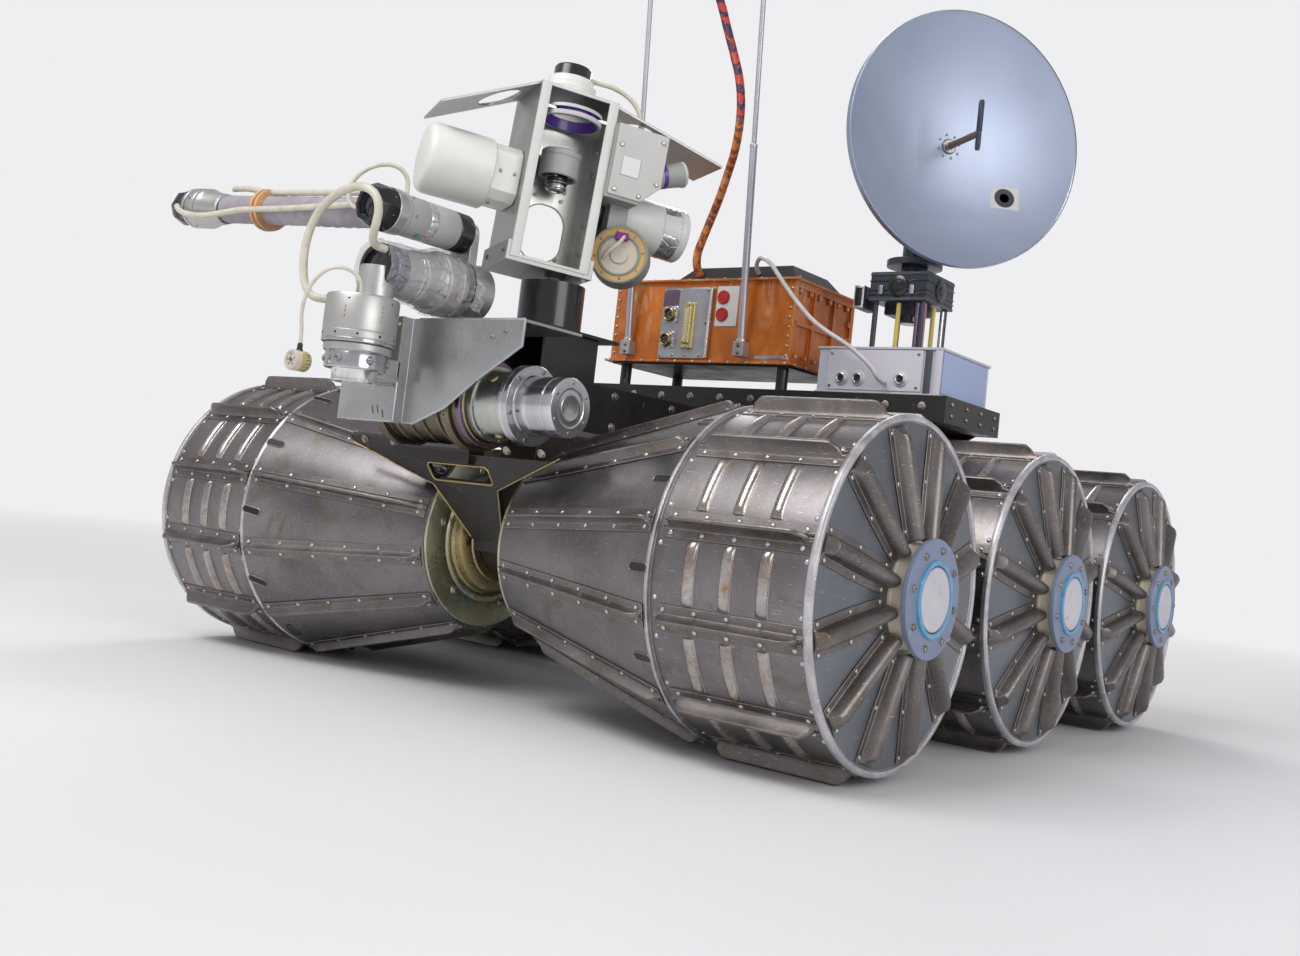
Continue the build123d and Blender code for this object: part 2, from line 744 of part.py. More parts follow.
def make_head_cameras():
    """Front, side and rear cameras and the round drum behind the frame."""
    front = head_frame_x + head_frame_width / 2
    rear = head_frame_x - head_frame_width / 2
    place = head_places()
    half = front_block_width / 2
    front_z = frame_bottom + front_camera_height
    block_end = front + front_block_length
    case = block((front, block_end), (-half, half), (front_z - half, front_z + half))
    case = chamfer(case.edges().filter_by(Axis.X), front_block_chamfer)
    barrel = drum_x(front_camera_radius, block_end, block_end + front_camera_length, 0, front_z)
    add("front_camera", case + barrel, place)

    low_z = frame_bottom + side_camera_height
    high_z = low_z + side_camera_length
    end = rear - side_camera_reach
    side_camera_points = [(rear, high_z), (end, high_z), (end + side_camera_cut / 4, low_z + side_camera_cut),
                          (end + side_camera_cut, low_z), (rear, low_z)]
    body = plate_y(side_camera_points, side_camera_y, side_camera_y + side_camera_depth)
    tube = Pos(end, side_camera_y + side_camera_depth * 0.7, (low_z + high_z) / 2)
    tube = tube * Rot(0, -side_tube_angle, 0) * Cylinder(side_tube_radius, side_tube_length)
    drum_z_place = low_z - rear_drum_drop
    drum_place = Pos(end + side_camera_cut, rear_drum_y, 0) * Rot(0, 0, rear_drum_yaw)
    drum = drum_place * drum_y(rear_drum_radius, -rear_drum_width / 2, rear_drum_width / 2, 0, drum_z_place)
    hanger = block((end + side_camera_cut, end + 2 * side_camera_cut), (side_camera_y, rear_drum_y),
                   (drum_z_place, low_z))
    add("side_camera", body + tube + (hanger - drum), place)
    add("rear_drum", drum, place)

    rear_z = frame_bottom + rear_camera_height
    add("rear_camera", drum_x(rear_camera_radius, rear - rear_camera_length, rear, rear_camera_y, rear_z), place)


def make_shoulder():
    """Fixed shoulder housing and the turning motor on its left."""
    fixed = drum_y(shoulder_radius, shoulder_low, shoulder_high, shoulder_x, shoulder_z)
    for low in (shoulder_low, shoulder_high - shoulder_flange_width):
        fixed = fixed + drum_y(shoulder_flange_radius, low, low + shoulder_flange_width, shoulder_x, shoulder_z)
    add("shoulder_housing", fixed)

    start = shoulder_high + bearing_gap
    points = [(0, start)]
    y = start
    for radius, length in motor_steps:
        points += [(radius, y), (radius, y + length)]
        y += length
    points.append((0, y))
    add("shoulder_motor", turned(points), Pos(shoulder_x, 0, shoulder_z))


def make_bracket():
    """Scalloped sheet on the motor's flange, a channel on it and the turret's mount."""
    low = shoulder_z - bracket_drop
    high = shoulder_z + bracket_rise
    front = shoulder_x + bracket_ahead
    channel_right = channel_left - channel_width
    points = [(channel_right, low), (channel_left + channel_depth, low)]
    points += [(y, high - depth) for y, depth in bracket_edge]
    points += [(bracket_left, high), (channel_right, high)]
    sheet = plate_x(points, front, front + bracket_sheet)
    shelf = block((front - bracket_shelf, front), (channel_left + channel_depth, bracket_left),
                  (high - bracket_sheet, high))
    clamp_radius, clamp_width = motor_steps[0]
    tab_y = shoulder_high + bearing_gap + bracket_sheet
    tab = block((front - bracket_shelf / 3, front), (tab_y, tab_y + clamp_width - 2 * bracket_sheet),
                (shoulder_z + bracket_drop, high))
    tab = tab - drum_y(clamp_radius, shoulder_high, bracket_left, shoulder_x, shoulder_z)
    walls = [block((front, front + channel_depth), sorted((y, y + step)), (low, high))
             for y, step in ((channel_right, bracket_sheet), (channel_left, -bracket_sheet))]
    web = block((front + channel_depth - bracket_sheet, front + channel_depth), (channel_right, channel_left),
                (low, high))
    add("shoulder_bracket", sheet + shelf + tab + walls + web)

    root = front + channel_depth
    plate = block((root, root + mount_plate), (arm_y - turret_radius, arm_y + mount_arm / 2),
                  (low + turret_radius, high))
    seat_z = turret_bottom - bearing_gap
    ring_z = seat_z - mount_ring
    arm = block((root, turret_x), (arm_y - mount_arm / 2, arm_y + mount_arm / 2), (ring_z - mount_arm, ring_z))
    ring = drum_z(turret_radius - 2 * bracket_sheet, ring_z - mount_arm - mount_ring, ring_z, turret_x, arm_y)
    ring = ring + drum_z(turret_radius - bracket_sheet, ring_z, seat_z, turret_x, arm_y)
    add("turret_mount", plate + arm + ring)


def make_turret():
    """Turret drum with the wrapped elbow drive lying on it."""
    drum = drum_z(turret_radius, turret_bottom, turret_top, turret_x, arm_y)
    neck = drum_z(neck_radius, turret_top, elbow_z, turret_x - neck_back, arm_y)
    start = turret_x - elbow_back
    body_end = start + elbow_length
    lying = drum_x(elbow_radius, start, body_end, arm_y, elbow_z)
    nose = drum_x(elbow_nose_radius, body_end, body_end + elbow_nose_length, arm_y, elbow_z)
    add("turret", drum + (neck - nose))
    add("elbow_drive", lying + nose)


def make_elbow():
    """Link from the elbow's axis up to the forearm drive, which ends in a lens."""
    start = turret_x - elbow_back - bearing_gap
    ring = drum_x(elbow_radius - 2, start - link_ring, start, arm_y, elbow_z)
    half = link_width / 2
    link = block((start - link_thickness, start), (arm_y - half, arm_y + half), (elbow_z, forearm_z))
    link = link + drum_x(half, start - link_thickness, start, arm_y, forearm_z)
    add("elbow_link", ring + link)
    body = drum_x(forearm_drive_radius, start, start + forearm_drive_length, arm_y, forearm_z)
    lens = drum_x(lens_radius, start + forearm_drive_length, start + forearm_drive_length + lens_length,
                  arm_y, forearm_z)
    add("forearm_drive", body + lens)


def forearm_piece(radius, start, length):
    """A drum along the forearm at a distance from its root."""
    place = Pos(forearm_x, arm_y, forearm_z) * Rot(-forearm_rise, 0, 0)
    return place * drum_y(radius, -start - length, -start)


def make_forearm():
    """Sleeved tube, collar and the turning end of the wrist."""
    root = forearm_drive_radius
    drive = drum_x(forearm_drive_radius, shoulder_x, turret_x, arm_y, forearm_z)
    add("forearm_tube", forearm_piece(forearm_radius, 0, root + forearm_length) - drive)
    add("wrist_collar", forearm_piece(collar_radius, root + forearm_length, collar_length))
    add("wrist_cap", forearm_piece(wrist_radius, root + forearm_length + collar_length + bearing_gap, wrist_length))


def between(start, end, points):
    """A route from start to end; the points are (share of the way, x, y, z aside from it)."""
    start = Vector(*start)
    span = Vector(*end) - start
    inner = [tuple(start + span * share + Vector(x, y, z)) for share, x, y, z in points]
    return [tuple(start), *inner, tuple(start + span)]


def around(points, x, y, z):
    """Points of a route given from a place on the rover."""
    return [(x + a, y + b, z + c) for a, b, c in points]


def make_cables():
    """Cables of the box, the mast, the head and the arm, each with its own route."""
    slope = Vector(lid_height, 0, lid_slope).normalized() * cable_gap
    gland = (lid_shift[0] + lid_length / 2 - lid_slope / 2 + slope.X, 72, box_top + lid_height / 2 + slope.Z)
    socket = (control_front - control_recess + cable_gap, control_left - 76, control_top - 45)
    cable("box_cable", between(gland, socket, [
        (0.0, 8, 0, 6.8), (0.05, 16, -5, 20), (0.1, 24, -6, 31), (0.17, 31, -8, 38), (0.24, 37, -8, 40),
        (0.31, 41, -8, 35), (0.39, 43, -7, 27), (0.48, 45, -3, 17), (0.58, 45, -1, 10), (0.67, 43, 4, 8),
        (0.76, 39, 12, 7), (0.84, 35, 15, 4), (0.91, 29, 14, 1), (0.97, 22, 6, -1), (1.0, 11, 0, 0),
    ]), box_cable_diameter)
    bar = rod_place(-18, rod_height)
    gland = (gland[0], -28, gland[2])
    cable("mast_cable", between(gland, (bar[0] - rod_radius - 1, bar[1], bar[2] - 4), [
        (0.0, 8.4, 0, 7.2), (0.05, 9.6, 0, -3), (0.08, 8, 1, -2), (0.12, 2, 4, -2), (0.16, -4, 8, 0),
        (0.21, -7, 16, 0), (0.27, -7, 27, -2), (0.34, -4, 40, -5), (0.41, -1, 53, -7), (0.48, -1, 59, -6),
        (0.56, -6, 58, -6), (0.65, -14, 49, -6), (0.74, -23, 32, -6), (0.82, -28, 16, -3), (0.9, -29, 5, -4),
        (0.96, -18, 0, -3),
    ]), mast_cable_diameter)
    cable("turret_loop", around([
        (-8 + cable_gap, 16, 54), (5, 16, 54), (15, 21, 57), (23, 30, 63), (28, 39, 73), (30, 43, 86),
        (31, 39, 99), (32, 28, 108), (33, 13, 112), (34, -4, 111), (35, -20, 106), (36, -36, 97),
        (37, -49, 84), (37, -58, 68), (37, -62, 51), (37, -62, 34), (36, -60, 18), (35, -55, 5),
        (31.5, -48, -4), (27, -39.5, -6), (22.2, -32.5, -6),
    ], turret_x, arm_y, turret_top), loop_diameter)
    plug = (turret_x + 49, arm_y - 33, turret_top - 77)
    cable("plug_cable", around([
        (-28, 53, 77 + cable_gap), (-28, 53, 87), (-24, 48, 96), (-16, 39, 102), (-7, 28, 101), (-1, 17, 93),
        (3, 8, 80), (4, 2, 65), (3, -1, 48), (0, 0, 32), (0, 0, plug_radius + cable_gap),
    ], *plug), plug_cable_diameter)
    loose.append("plug")
    add("plug", drum_x(plug_radius, plug[0] - plug_length / 2, plug[0] + plug_length / 2, plug[1], plug[2]))
    cable("lens_cable", around([
        (-2, -lens_radius - cable_gap, 0), (-2, -36, 0), (-1, -45, 6), (0, -49, 18), (-2, -46, 31),
        (-7, -37, 43), (-15, -25, 51), (-25, -13, 54), (-34, -4, 50), (-40, 0, 41),
        (-41, 0, 32), (-41, 0.4, forearm_drive_radius + cable_gap),
    ], turret_x, arm_y, forearm_z), lens_cable_diameter)
    cap_z = frame_top + cap_cone[2] + cap_size[1] / 2
    shelf_z = frame_bottom + side_camera_height + side_camera_length + cable_gap
    cable("head_cable", around([
        (-cap_size[0] - cable_gap, 0, cap_z), (-36, 0, cap_z), (-50, 3, cap_z), (-65, 9, cap_z - 5),
        (-78, 15, cap_z - 14), (-87, 20, cap_z - 27), (-91, 23, shelf_z + 15), (-91, 23, shelf_z),
    ], head_frame_x, 0, 0), head_cable_diameter, head_places())


make_wheels()
make_axles()
make_backbone()
make_deck()
make_front_bracket()
make_box()
make_control_box()
make_mast()
make_dish()
make_head_stand()
make_head_frame()
make_head_optics()
make_head_shades()
make_head_cameras()
make_shoulder()
make_bracket()
make_turret()
make_elbow()
make_forearm()
make_cables()

boxes = [shape.bounding_box() for name, shape in parts.items() if name not in loose]
low = [min(values) for values in zip(*[tuple(box.min) for box in boxes])]
high = [max(values) for values in zip(*[tuple(box.max) for box in boxes])]
shift = (-(low[0] + high[0]) / 2, -(low[1] + high[1]) / 2, -low[2])
print("moved by", [round(value, 3) for value in shift])
print("size", [round(top - bottom, 2) for bottom, top in zip(low, high)])
os.makedirs("parts", exist_ok=True)
for name, shape in parts.items():
    export_step(Pos(*shift) * shape, f"parts/{name}.step")
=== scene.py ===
import bpy
import random
from math import cos, pi, radians, sin, sqrt
from mathutils import Matrix, Vector


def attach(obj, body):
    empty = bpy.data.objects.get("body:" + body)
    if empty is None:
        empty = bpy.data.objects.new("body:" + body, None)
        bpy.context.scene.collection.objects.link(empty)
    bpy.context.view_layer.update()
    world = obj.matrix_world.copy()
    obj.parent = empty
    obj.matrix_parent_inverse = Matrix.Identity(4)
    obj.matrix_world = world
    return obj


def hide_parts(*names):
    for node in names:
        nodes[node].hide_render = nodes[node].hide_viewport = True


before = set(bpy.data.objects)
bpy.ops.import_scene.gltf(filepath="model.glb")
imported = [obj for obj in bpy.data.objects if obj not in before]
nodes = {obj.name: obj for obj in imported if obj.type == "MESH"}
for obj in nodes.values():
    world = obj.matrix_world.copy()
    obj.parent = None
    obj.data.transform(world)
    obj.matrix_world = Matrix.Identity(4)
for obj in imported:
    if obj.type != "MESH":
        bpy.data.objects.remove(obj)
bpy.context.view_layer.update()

# Sizes are in millimetres in the rover's own frame, as in the part's source; this moves them to the row frame
to_row = Matrix.Scale(0.001, 4) @ Matrix.Translation((-55.821, 0.0, -0.01))
turn_x = Matrix.Rotation(pi / 2, 4, "X")
turn_to_y = Matrix.Rotation(-pi / 2, 4, "X")
turned_x = Matrix.Rotation(pi / 2, 4, "Y")


def at(x, y, z):
    return Matrix.Translation((x, y, z))


# Main places, as in the part's source
axle_z = 189.3 * cos(radians(15)) + 2 * sin(radians(15))
axle_spacing = 384.0
small_end = 61.0
joint_plane = 318.0
rim_plane = 495.0
shell_radius = 171.5
box_bottom = 449.0
box_top = 567.0
box_front = 82.0
box_side = 148.0
flange_side = 158.0
control_front = 72.0
control_top = 477.0
deck_edge = 84.0
deck_end = 382.0
deck_bolt_z = 402.0
beam_side = 42.0
rod_foot = (90.0, 458.0)
shoulder = Vector((514, 0, axle_z + 151.5))
turret_base = Vector((640, -40, shoulder.z + 43))
turret_top = turret_base.z + 52
elbow_z = shoulder.z + 131
forearm_z = elbow_z + 64
head_seat = 495.0
frame_bottom = 508.5
frame_top = 720.5
head_x = 25.0
head_stand_x = 389.0
arm_y = -40.0
dish_x, dish_y = 10.0, 285.0
head_place = (at(head_stand_x, 0, 0) @ Matrix.Rotation(radians(-29.4), 4, "Z") @ at(head_x, 0, head_seat)
              @ Matrix.Rotation(radians(-4.1), 4, "Y") @ at(-head_x, 0, -head_seat))
forearm_place = at(606, arm_y, forearm_z) @ Matrix.Rotation(radians(-4), 4, "X")
dish_place = at(dish_x, dish_y, 741) @ Matrix.Rotation(radians(55), 4, "Z")
x_way, y_way, z_way = (1, 0, 0), (0, 1, 0), (0, 0, 1)


# Materials

class Look:
    """A node material with its shader and the coordinates of the piece."""

    def __init__(self, name, metallic=0.0, coat=0.0, coat_roughness=0.2):
        self.name = name
        self.material = bpy.data.materials.new(name)
        self.material.use_nodes = True
        self.tree = self.material.node_tree
        self.shader = self.tree.nodes["Principled BSDF"]
        self.fill(self.shader, {"Metallic": metallic, "Coat Weight": coat, "Coat Roughness": coat_roughness})
        self.plain = self.made("TexCoord", "Object")
        chance = self.made("ObjectInfo", "Random")
        shift = self.made("VectorMath", 0, {0: (3.1, 1.7, 2.3), "Scale": chance}, operation="SCALE")
        self.coordinates = self.made("VectorMath", 0, {0: self.plain, 1: shift}, operation="ADD")

    def fill(self, node, inputs):
        """Set a node's inputs, each to a value or from another node's output."""
        for key, value in inputs.items():
            if isinstance(value, bpy.types.NodeSocket):
                self.tree.links.new(value, node.inputs[key])
            else:
                node.inputs[key].default_value = value

    def made(self, kind, output, inputs=None, **settings):
        """An output of a new node whose settings and inputs are given."""
        node = self.tree.nodes.new("ShaderNode" + kind)
        for key, value in settings.items():
            setattr(node, key, value)
        self.fill(node, inputs or {})
        return node.outputs[output]

    def stretched(self, scale, turn=(0, 0, 0)):
        """Coordinates scaled along each axis."""
        return self.made("Mapping", "Vector", {"Scale": scale, "Rotation": turn, "Vector": self.coordinates})

    def noise(self, scale, detail=3.0, roughness=0.5, distortion=0.0, along=None):
        return self.made("TexNoise", "Fac", {"Scale": scale, "Detail": detail, "Roughness": roughness,
                                             "Distortion": distortion, "Vector": along or self.coordinates})

    def cells(self, scale, feature="F1", along=None):
        return self.made("TexVoronoi", "Distance", {"Scale": scale, "Vector": along or self.coordinates},
                         feature=feature)

    def span(self, value, low, high, new_low=0.0, new_high=1.0):
        """Rescale a value, held within the new range."""
        return self.made("MapRange", "Result", {"From Min": low, "From Max": high, "To Min": new_low,
                                                "To Max": new_high, "Value": value})

    def math(self, operation, first, second):
        return self.made("Math", 0, {0: first, 1: second}, operation=operation)

    def times(self, first, second):
        return self.math("MULTIPLY", first, second)

    def mix(self, share, first, second):
        first, second = [(*tone, 1.0) if isinstance(tone, tuple) else tone for tone in (first, second)]
        return self.made("Mix", 2, {0: share, 6: first, 7: second}, data_type="RGBA")

    def edges(self, radius=0.0012):
        """Where an edge of the piece is near, from the bevelled normal."""
        self.rounded = self.made("Bevel", 0, {"Radius": radius}, samples=6)
        flat = self.made("NewGeometry", "Normal")
        dot = self.made("VectorMath", "Value", {0: self.rounded, 1: flat}, operation="DOT_PRODUCT")
        return self.span(dot, 0.98, 0.88)

    def finish(self, colour, roughness, height, strength, distance, normal=None):
        """Join colour, roughness and a bump to the shader, and keep the material under its name."""
        self.fill(self.shader, {"Base Color": colour, "Roughness": roughness})
        inputs = {"Strength": strength, "Distance": distance, "Height": height}
        if normal is not None:
            inputs["Normal"] = normal
        self.fill(self.shader, {"Normal": self.made("Bump", 0, inputs)})
        looks[self.name] = self.material


looks = {}


def metal(name, low, high, roughness=(0.28, 0.45), patches=9.0, grain=(1, 1, 1), scratch=0.5, edge=0.25,
          stain=None, stain_share=0.3, dents=0.0, metallic=0.9):
    """Worn metal: two tones in patches, a grain, fine scratches, pale edges and stains."""
    look = Look(name, metallic=metallic)
    big = look.span(look.noise(patches, 5.0, 0.6, 0.4), 0.32, 0.68)
    colour = look.mix(big, low, high)
    if stain is not None:
        spots = look.span(look.noise(patches * 2.3, 6.0, 0.7, 0.8), 0.62 - stain_share / 4, 0.7)
        colour = look.mix(look.times(spots, stain_share * 2), colour, stain)
    fine = look.noise(500.0, 2.0, 0.6, along=look.stretched(grain))
    bright = tuple(min(1.0, value * 1.9 + 0.08) for value in high)
    lines = look.noise(60.0, 2.0, 0.5, 0.3, along=look.stretched((1, 9, 14), (0.4, 0.7, 0.3)))
    more = look.noise(75.0, 2.0, 0.5, 0.2, along=look.stretched((12, 1, 9), (0.9, 0.2, 0.5)))
    marks = look.math("MAXIMUM", look.span(lines, 0.66, 0.72), look.span(more, 0.68, 0.73))
    marks = look.times(marks, scratch)
    colour = look.mix(marks, colour, bright)
    colour = look.mix(look.times(look.edges(), edge), colour, bright)
    rough = look.span(look.math("ADD", fine, big), 0.5, 1.5, *roughness)
    height = look.math("ADD", look.times(fine, 0.3), look.times(marks, -0.4))
    if dents:
        height = look.math("ADD", height, look.times(look.noise(14.0, 2.0), dents))
    look.finish(colour, rough, height, 0.25, 0.0006, look.rounded)


def paint(name, colour, dark, roughness=(0.35, 0.5), patches=7.0, chip=None, chip_share=0.0, edge=0.4,
          dirt=0.4, coat=0.0):
    """Paint: small changes of tone, dirt in patches, orange-peel and worn edges."""
    look = Look(name, coat=coat)
    big = look.span(look.noise(patches, 6.0, 0.62, 0.5), 0.38, 0.72)
    base = look.mix(look.times(big, dirt), colour, dark)
    near = look.edges(0.0011)
    if chip is not None:
        wear = look.span(look.noise(140.0, 4.0, 0.7), 0.42, 0.6)
        base = look.mix(look.times(look.times(near, wear), edge), base, chip)
        if chip_share:
            spots = look.span(look.noise(55.0, 6.0, 0.75, 0.6), 0.66 - chip_share * 0.12, 0.69)
            base = look.mix(spots, base, chip)
    rough = look.span(look.noise(30.0, 4.0), 0.3, 0.7, *roughness)
    height = look.math("ADD", look.noise(700.0, 2.0), look.times(look.noise(25.0, 2.0), 0.8))
    look.finish(base, rough, height, 0.15, 0.0004, look.rounded)


def spun(name, low, high, axis, roughness=(0.2, 0.34), rings=900.0, cloud=0.4, metallic=0.95):
    """Turned or spun metal, with fine rings round a line through a point along an axis of the row frame."""
    look = Look(name, metallic=metallic)
    point, direction = axis
    away = look.made("VectorMath", 0, {0: look.plain, 1: point}, operation="SUBTRACT")
    cross = look.made("VectorMath", 0, {0: away, 1: direction}, operation="CROSS_PRODUCT")
    length = look.made("VectorMath", "Value", {0: cross}, operation="LENGTH")
    along = look.made("VectorMath", "Value", {0: away, 1: direction}, operation="DOT_PRODUCT")
    joined = look.made("CombineXYZ", 0, {0: length, 1: along})
    fine = look.noise(rings, 3.0, 0.7, along=joined)
    wide = look.noise(rings / 12, 2.0, 0.5, along=joined)
    patch = look.noise(9.0, 4.0, 0.6, 0.5)
    tone = look.span(look.math("ADD", look.times(patch, cloud), look.times(wide, 1 - cloud)), 0.35, 0.65)
    colour = look.mix(tone, low, high)
    rough = look.span(fine, 0.3, 0.7, *roughness)
    near = look.times(look.edges(0.0008), 0.3)
    colour = look.mix(near, colour, tuple(min(1.0, value * 1.5) for value in high))
    look.finish(colour, rough, fine, 0.12, 0.0003, look.rounded)


def lacquer(name):
    """Thin orange lacquer over metal, darker in random patches, with pale upright patches that are scuffs and
    painted highlight.
    """
    look = Look(name, metallic=0.35, coat=0.35, coat_roughness=0.25)
    upright = look.stretched((1.0, 1.0, 0.28))
    scuffs_and_highlight = look.span(look.noise(34.0, 7.0, 0.72, 0.9, along=upright), 0.50, 0.66)
    patch = look.span(look.noise(11.0, 3.0, 0.5), 0.42, 0.62)
    depth = look.span(look.noise(16.0, 5.0, 0.6), 0.3, 0.7)
    base = look.mix(depth, (0.78, 0.215, 0.016), (0.40, 0.085, 0.006))
    # Pale upright patches: scuffs together with painted highlight
    base = look.mix(look.times(look.times(scuffs_and_highlight, patch), 0.9), base, (0.78, 0.52, 0.29))
    base = look.mix(look.times(look.edges(0.0014), 0.45), base, (0.95, 0.42, 0.10))
    rough = look.span(look.noise(60.0, 4.0), 0.3, 0.7, 0.28, 0.5)
    look.finish(base, rough, look.noise(90.0, 5.0, 0.6), 0.2, 0.0005, look.rounded)


def foil(name):
    """Crumpled bright foil tape, lighter on the raised crumples as painted sheen."""
    look = Look(name, metallic=0.75, coat=0.9, coat_roughness=0.08)
    folds = look.span(look.cells(70.0, "DISTANCE_TO_EDGE", look.stretched((0.35, 1.0, 1.0))), 0.0, 0.08)
    crumple_and_sheen = look.noise(55.0, 4.0, 0.6, 1.2)
    # Lighter where the crumples rise: painted sheen
    colour = look.mix(look.span(crumple_and_sheen, 0.35, 0.7), (0.50, 0.48, 0.49), (0.78, 0.77, 0.75))
    height = look.math("ADD", look.times(folds, 0.8), crumple_and_sheen)
    look.finish(colour, look.span(crumple_and_sheen, 0.3, 0.7, 0.22, 0.42), height, 0.55, 0.0016)


def clear_film(name):
    """Thin clear film, crumpled, that only its folds and highlights show; its pale tone on the raised
    crumples is painted sheen.
    """
    look = Look(name, coat=1.0, coat_roughness=0.06)
    look.fill(look.shader, {"Alpha": 0.32, "IOR": 1.5})
    crumple_and_sheen = look.noise(70.0, 5.0, 0.65, 1.4)
    folds = look.span(look.cells(90.0, "DISTANCE_TO_EDGE", look.stretched((0.5, 1.0, 1.0))), 0.0, 0.07)
    # Paler where the crumples rise: painted sheen
    colour = look.mix(look.span(crumple_and_sheen, 0.4, 0.7), (0.62, 0.60, 0.64), (0.94, 0.94, 0.96))
    look.finish(colour, 0.12, look.math("ADD", crumple_and_sheen, folds), 0.8, 0.002)


def cloth(name, colour, dark):
    """Woven sleeve, with creases across it that are darker in their hollows as painted shade."""
    look = Look(name)
    look.fill(look.shader, {"Sheen Weight": 0.2})
    weave = look.cells(900.0)
    creases_and_shade = look.noise(26.0, 4.0, 0.6, 0.6, along=look.stretched((1.0, 0.6, 1.0)))
    # The dark tone follows the creases' hollows: painted shade
    base = look.mix(look.span(creases_and_shade, 0.35, 0.68), dark, colour)
    look.finish(base, 0.78, look.math("ADD", look.times(weave, 0.25), creases_and_shade), 0.5, 0.0015)


def sheath(name, colour, dark, roughness):
    """Rubber or plastic cable sheath, a little grimy."""
    look = Look(name)
    grime = look.span(look.noise(60.0, 5.0, 0.65), 0.42, 0.72)
    base = look.mix(look.times(grime, 0.6), colour, dark)
    look.finish(base, roughness, look.noise(400.0, 3.0), 0.25, 0.0003)


def wound(name):
    """Orange-brown tape wound round a cable, red and dark in its upper part."""
    look = Look(name)
    wave = look.made("TexWave", "Fac", {"Scale": 34.0, "Distortion": 5.0, "Detail Scale": 3.0,
                                        "Vector": look.coordinates}, wave_type="BANDS",
                                        bands_direction="DIAGONAL")
    turns = look.span(wave, 0.3, 0.7)
    base = look.mix(turns, (0.58, 0.15, 0.02), (0.20, 0.055, 0.02))
    base = look.mix(look.span(look.noise(50.0, 3.0), 0.55, 0.7), base, (0.75, 0.30, 0.10))
    upper = look.mix(look.span(wave, 0.42, 0.58), (0.55, 0.045, 0.02), (0.045, 0.03, 0.07))
    height = look.made("SeparateXYZ", "Z", {0: look.plain})
    base = look.mix(look.span(height, 0.78, 0.80), base, upper)
    look.finish(base, 0.55, turns, 0.6, 0.001)


def row_axis(point, direction, place=Matrix()):
    """A line of the rover's frame as a point and direction of the row frame."""
    return tuple(to_row @ (place @ Vector(point))), tuple((place.to_3x3() @ Vector(direction)).normalized())


# Sheets and metals: two tones, then the roughness range
metal("sheet", (0.16, 0.145, 0.15), (0.27, 0.25, 0.255), (0.27, 0.42), patches=8.0, grain=(1, 0.25, 1),
      edge=0.35, stain=(0.15, 0.13, 0.09), stain_share=0.4, dents=2.2)
metal("lug", (0.15, 0.135, 0.13), (0.26, 0.235, 0.225), (0.30, 0.46), patches=14.0, scratch=0.7, edge=0.5,
      stain=(0.17, 0.12, 0.08), stain_share=0.35, dents=1.0)
metal("bead", (0.34, 0.32, 0.31), (0.52, 0.49, 0.47), (0.20, 0.34), patches=22.0, scratch=0.4, edge=0.2,
      stain=(0.34, 0.18, 0.09), stain_share=0.5)
metal("face", (0.17, 0.18, 0.205), (0.25, 0.26, 0.29), (0.30, 0.44), patches=6.0, scratch=0.35, edge=0.3,
      dents=1.5)
metal("hoop", (0.42, 0.40, 0.42), (0.68, 0.66, 0.68), (0.34, 0.5), patches=40.0, scratch=0.8, edge=0.2,
      metallic=0.8)
metal("rivet", (0.50, 0.48, 0.47), (0.72, 0.70, 0.68), (0.22, 0.34), patches=60.0, scratch=0.2, edge=0.0)
metal("bolt", (0.20, 0.17, 0.15), (0.42, 0.38, 0.34), patches=80.0, scratch=0.2)
metal("zinc", (0.46, 0.45, 0.31), (0.60, 0.57, 0.38), (0.24, 0.38), patches=12.0, scratch=0.3, edge=0.4,
      stain=(0.30, 0.38, 0.37), stain_share=0.5)
metal("brass", (0.34, 0.26, 0.13), (0.50, 0.40, 0.22), (0.2, 0.36), patches=16.0, scratch=0.3, edge=0.4,
      stain=(0.22, 0.20, 0.14), stain_share=0.4)
metal("gold", (0.42, 0.30, 0.12), (0.60, 0.46, 0.20), (0.25, 0.4), scratch=0.3)
metal("panel", (0.34, 0.35, 0.38), (0.52, 0.53, 0.56), (0.25, 0.38), grain=(1, 1, 0.05), scratch=0.3,
      edge=0.6)
metal("steel", (0.50, 0.50, 0.52), (0.70, 0.70, 0.72), (0.18, 0.28), grain=(1, 1, 0.05), scratch=0.2,
      edge=0.1)
metal("frame_white", (0.40, 0.41, 0.38), (0.52, 0.53, 0.50), (0.26, 0.4), patches=12.0, grain=(1, 1, 0.05),
      scratch=0.2, edge=0.3, stain=(0.30, 0.30, 0.27), stain_share=0.2)
metal("shade", (0.30, 0.29, 0.28), (0.44, 0.43, 0.42), (0.32, 0.46), scratch=0.3, edge=0.7)
metal("yoke", (0.19, 0.185, 0.18), (0.31, 0.30, 0.29), (0.25, 0.38), scratch=0.3, edge=0.5)
metal("arm", (0.46, 0.465, 0.44), (0.60, 0.60, 0.57), (0.3, 0.44), patches=14.0, scratch=0.15, metallic=0.75,
      edge=0.5, stain=(0.32, 0.32, 0.28), stain_share=0.25)
metal("bronze", (0.13, 0.11, 0.08), (0.24, 0.20, 0.14), (0.24, 0.38), scratch=0.3, edge=0.5)
metal("violet_ring", (0.15, 0.10, 0.15), (0.26, 0.19, 0.27), (0.2, 0.34), scratch=0.3, edge=0.5)
metal("blue_steel", (0.10, 0.10, 0.20), (0.22, 0.22, 0.36), (0.14, 0.24), scratch=0.2, edge=0.3)
metal("bright_edge", (0.62, 0.62, 0.64), (0.80, 0.80, 0.82), (0.2, 0.3), scratch=0.2)
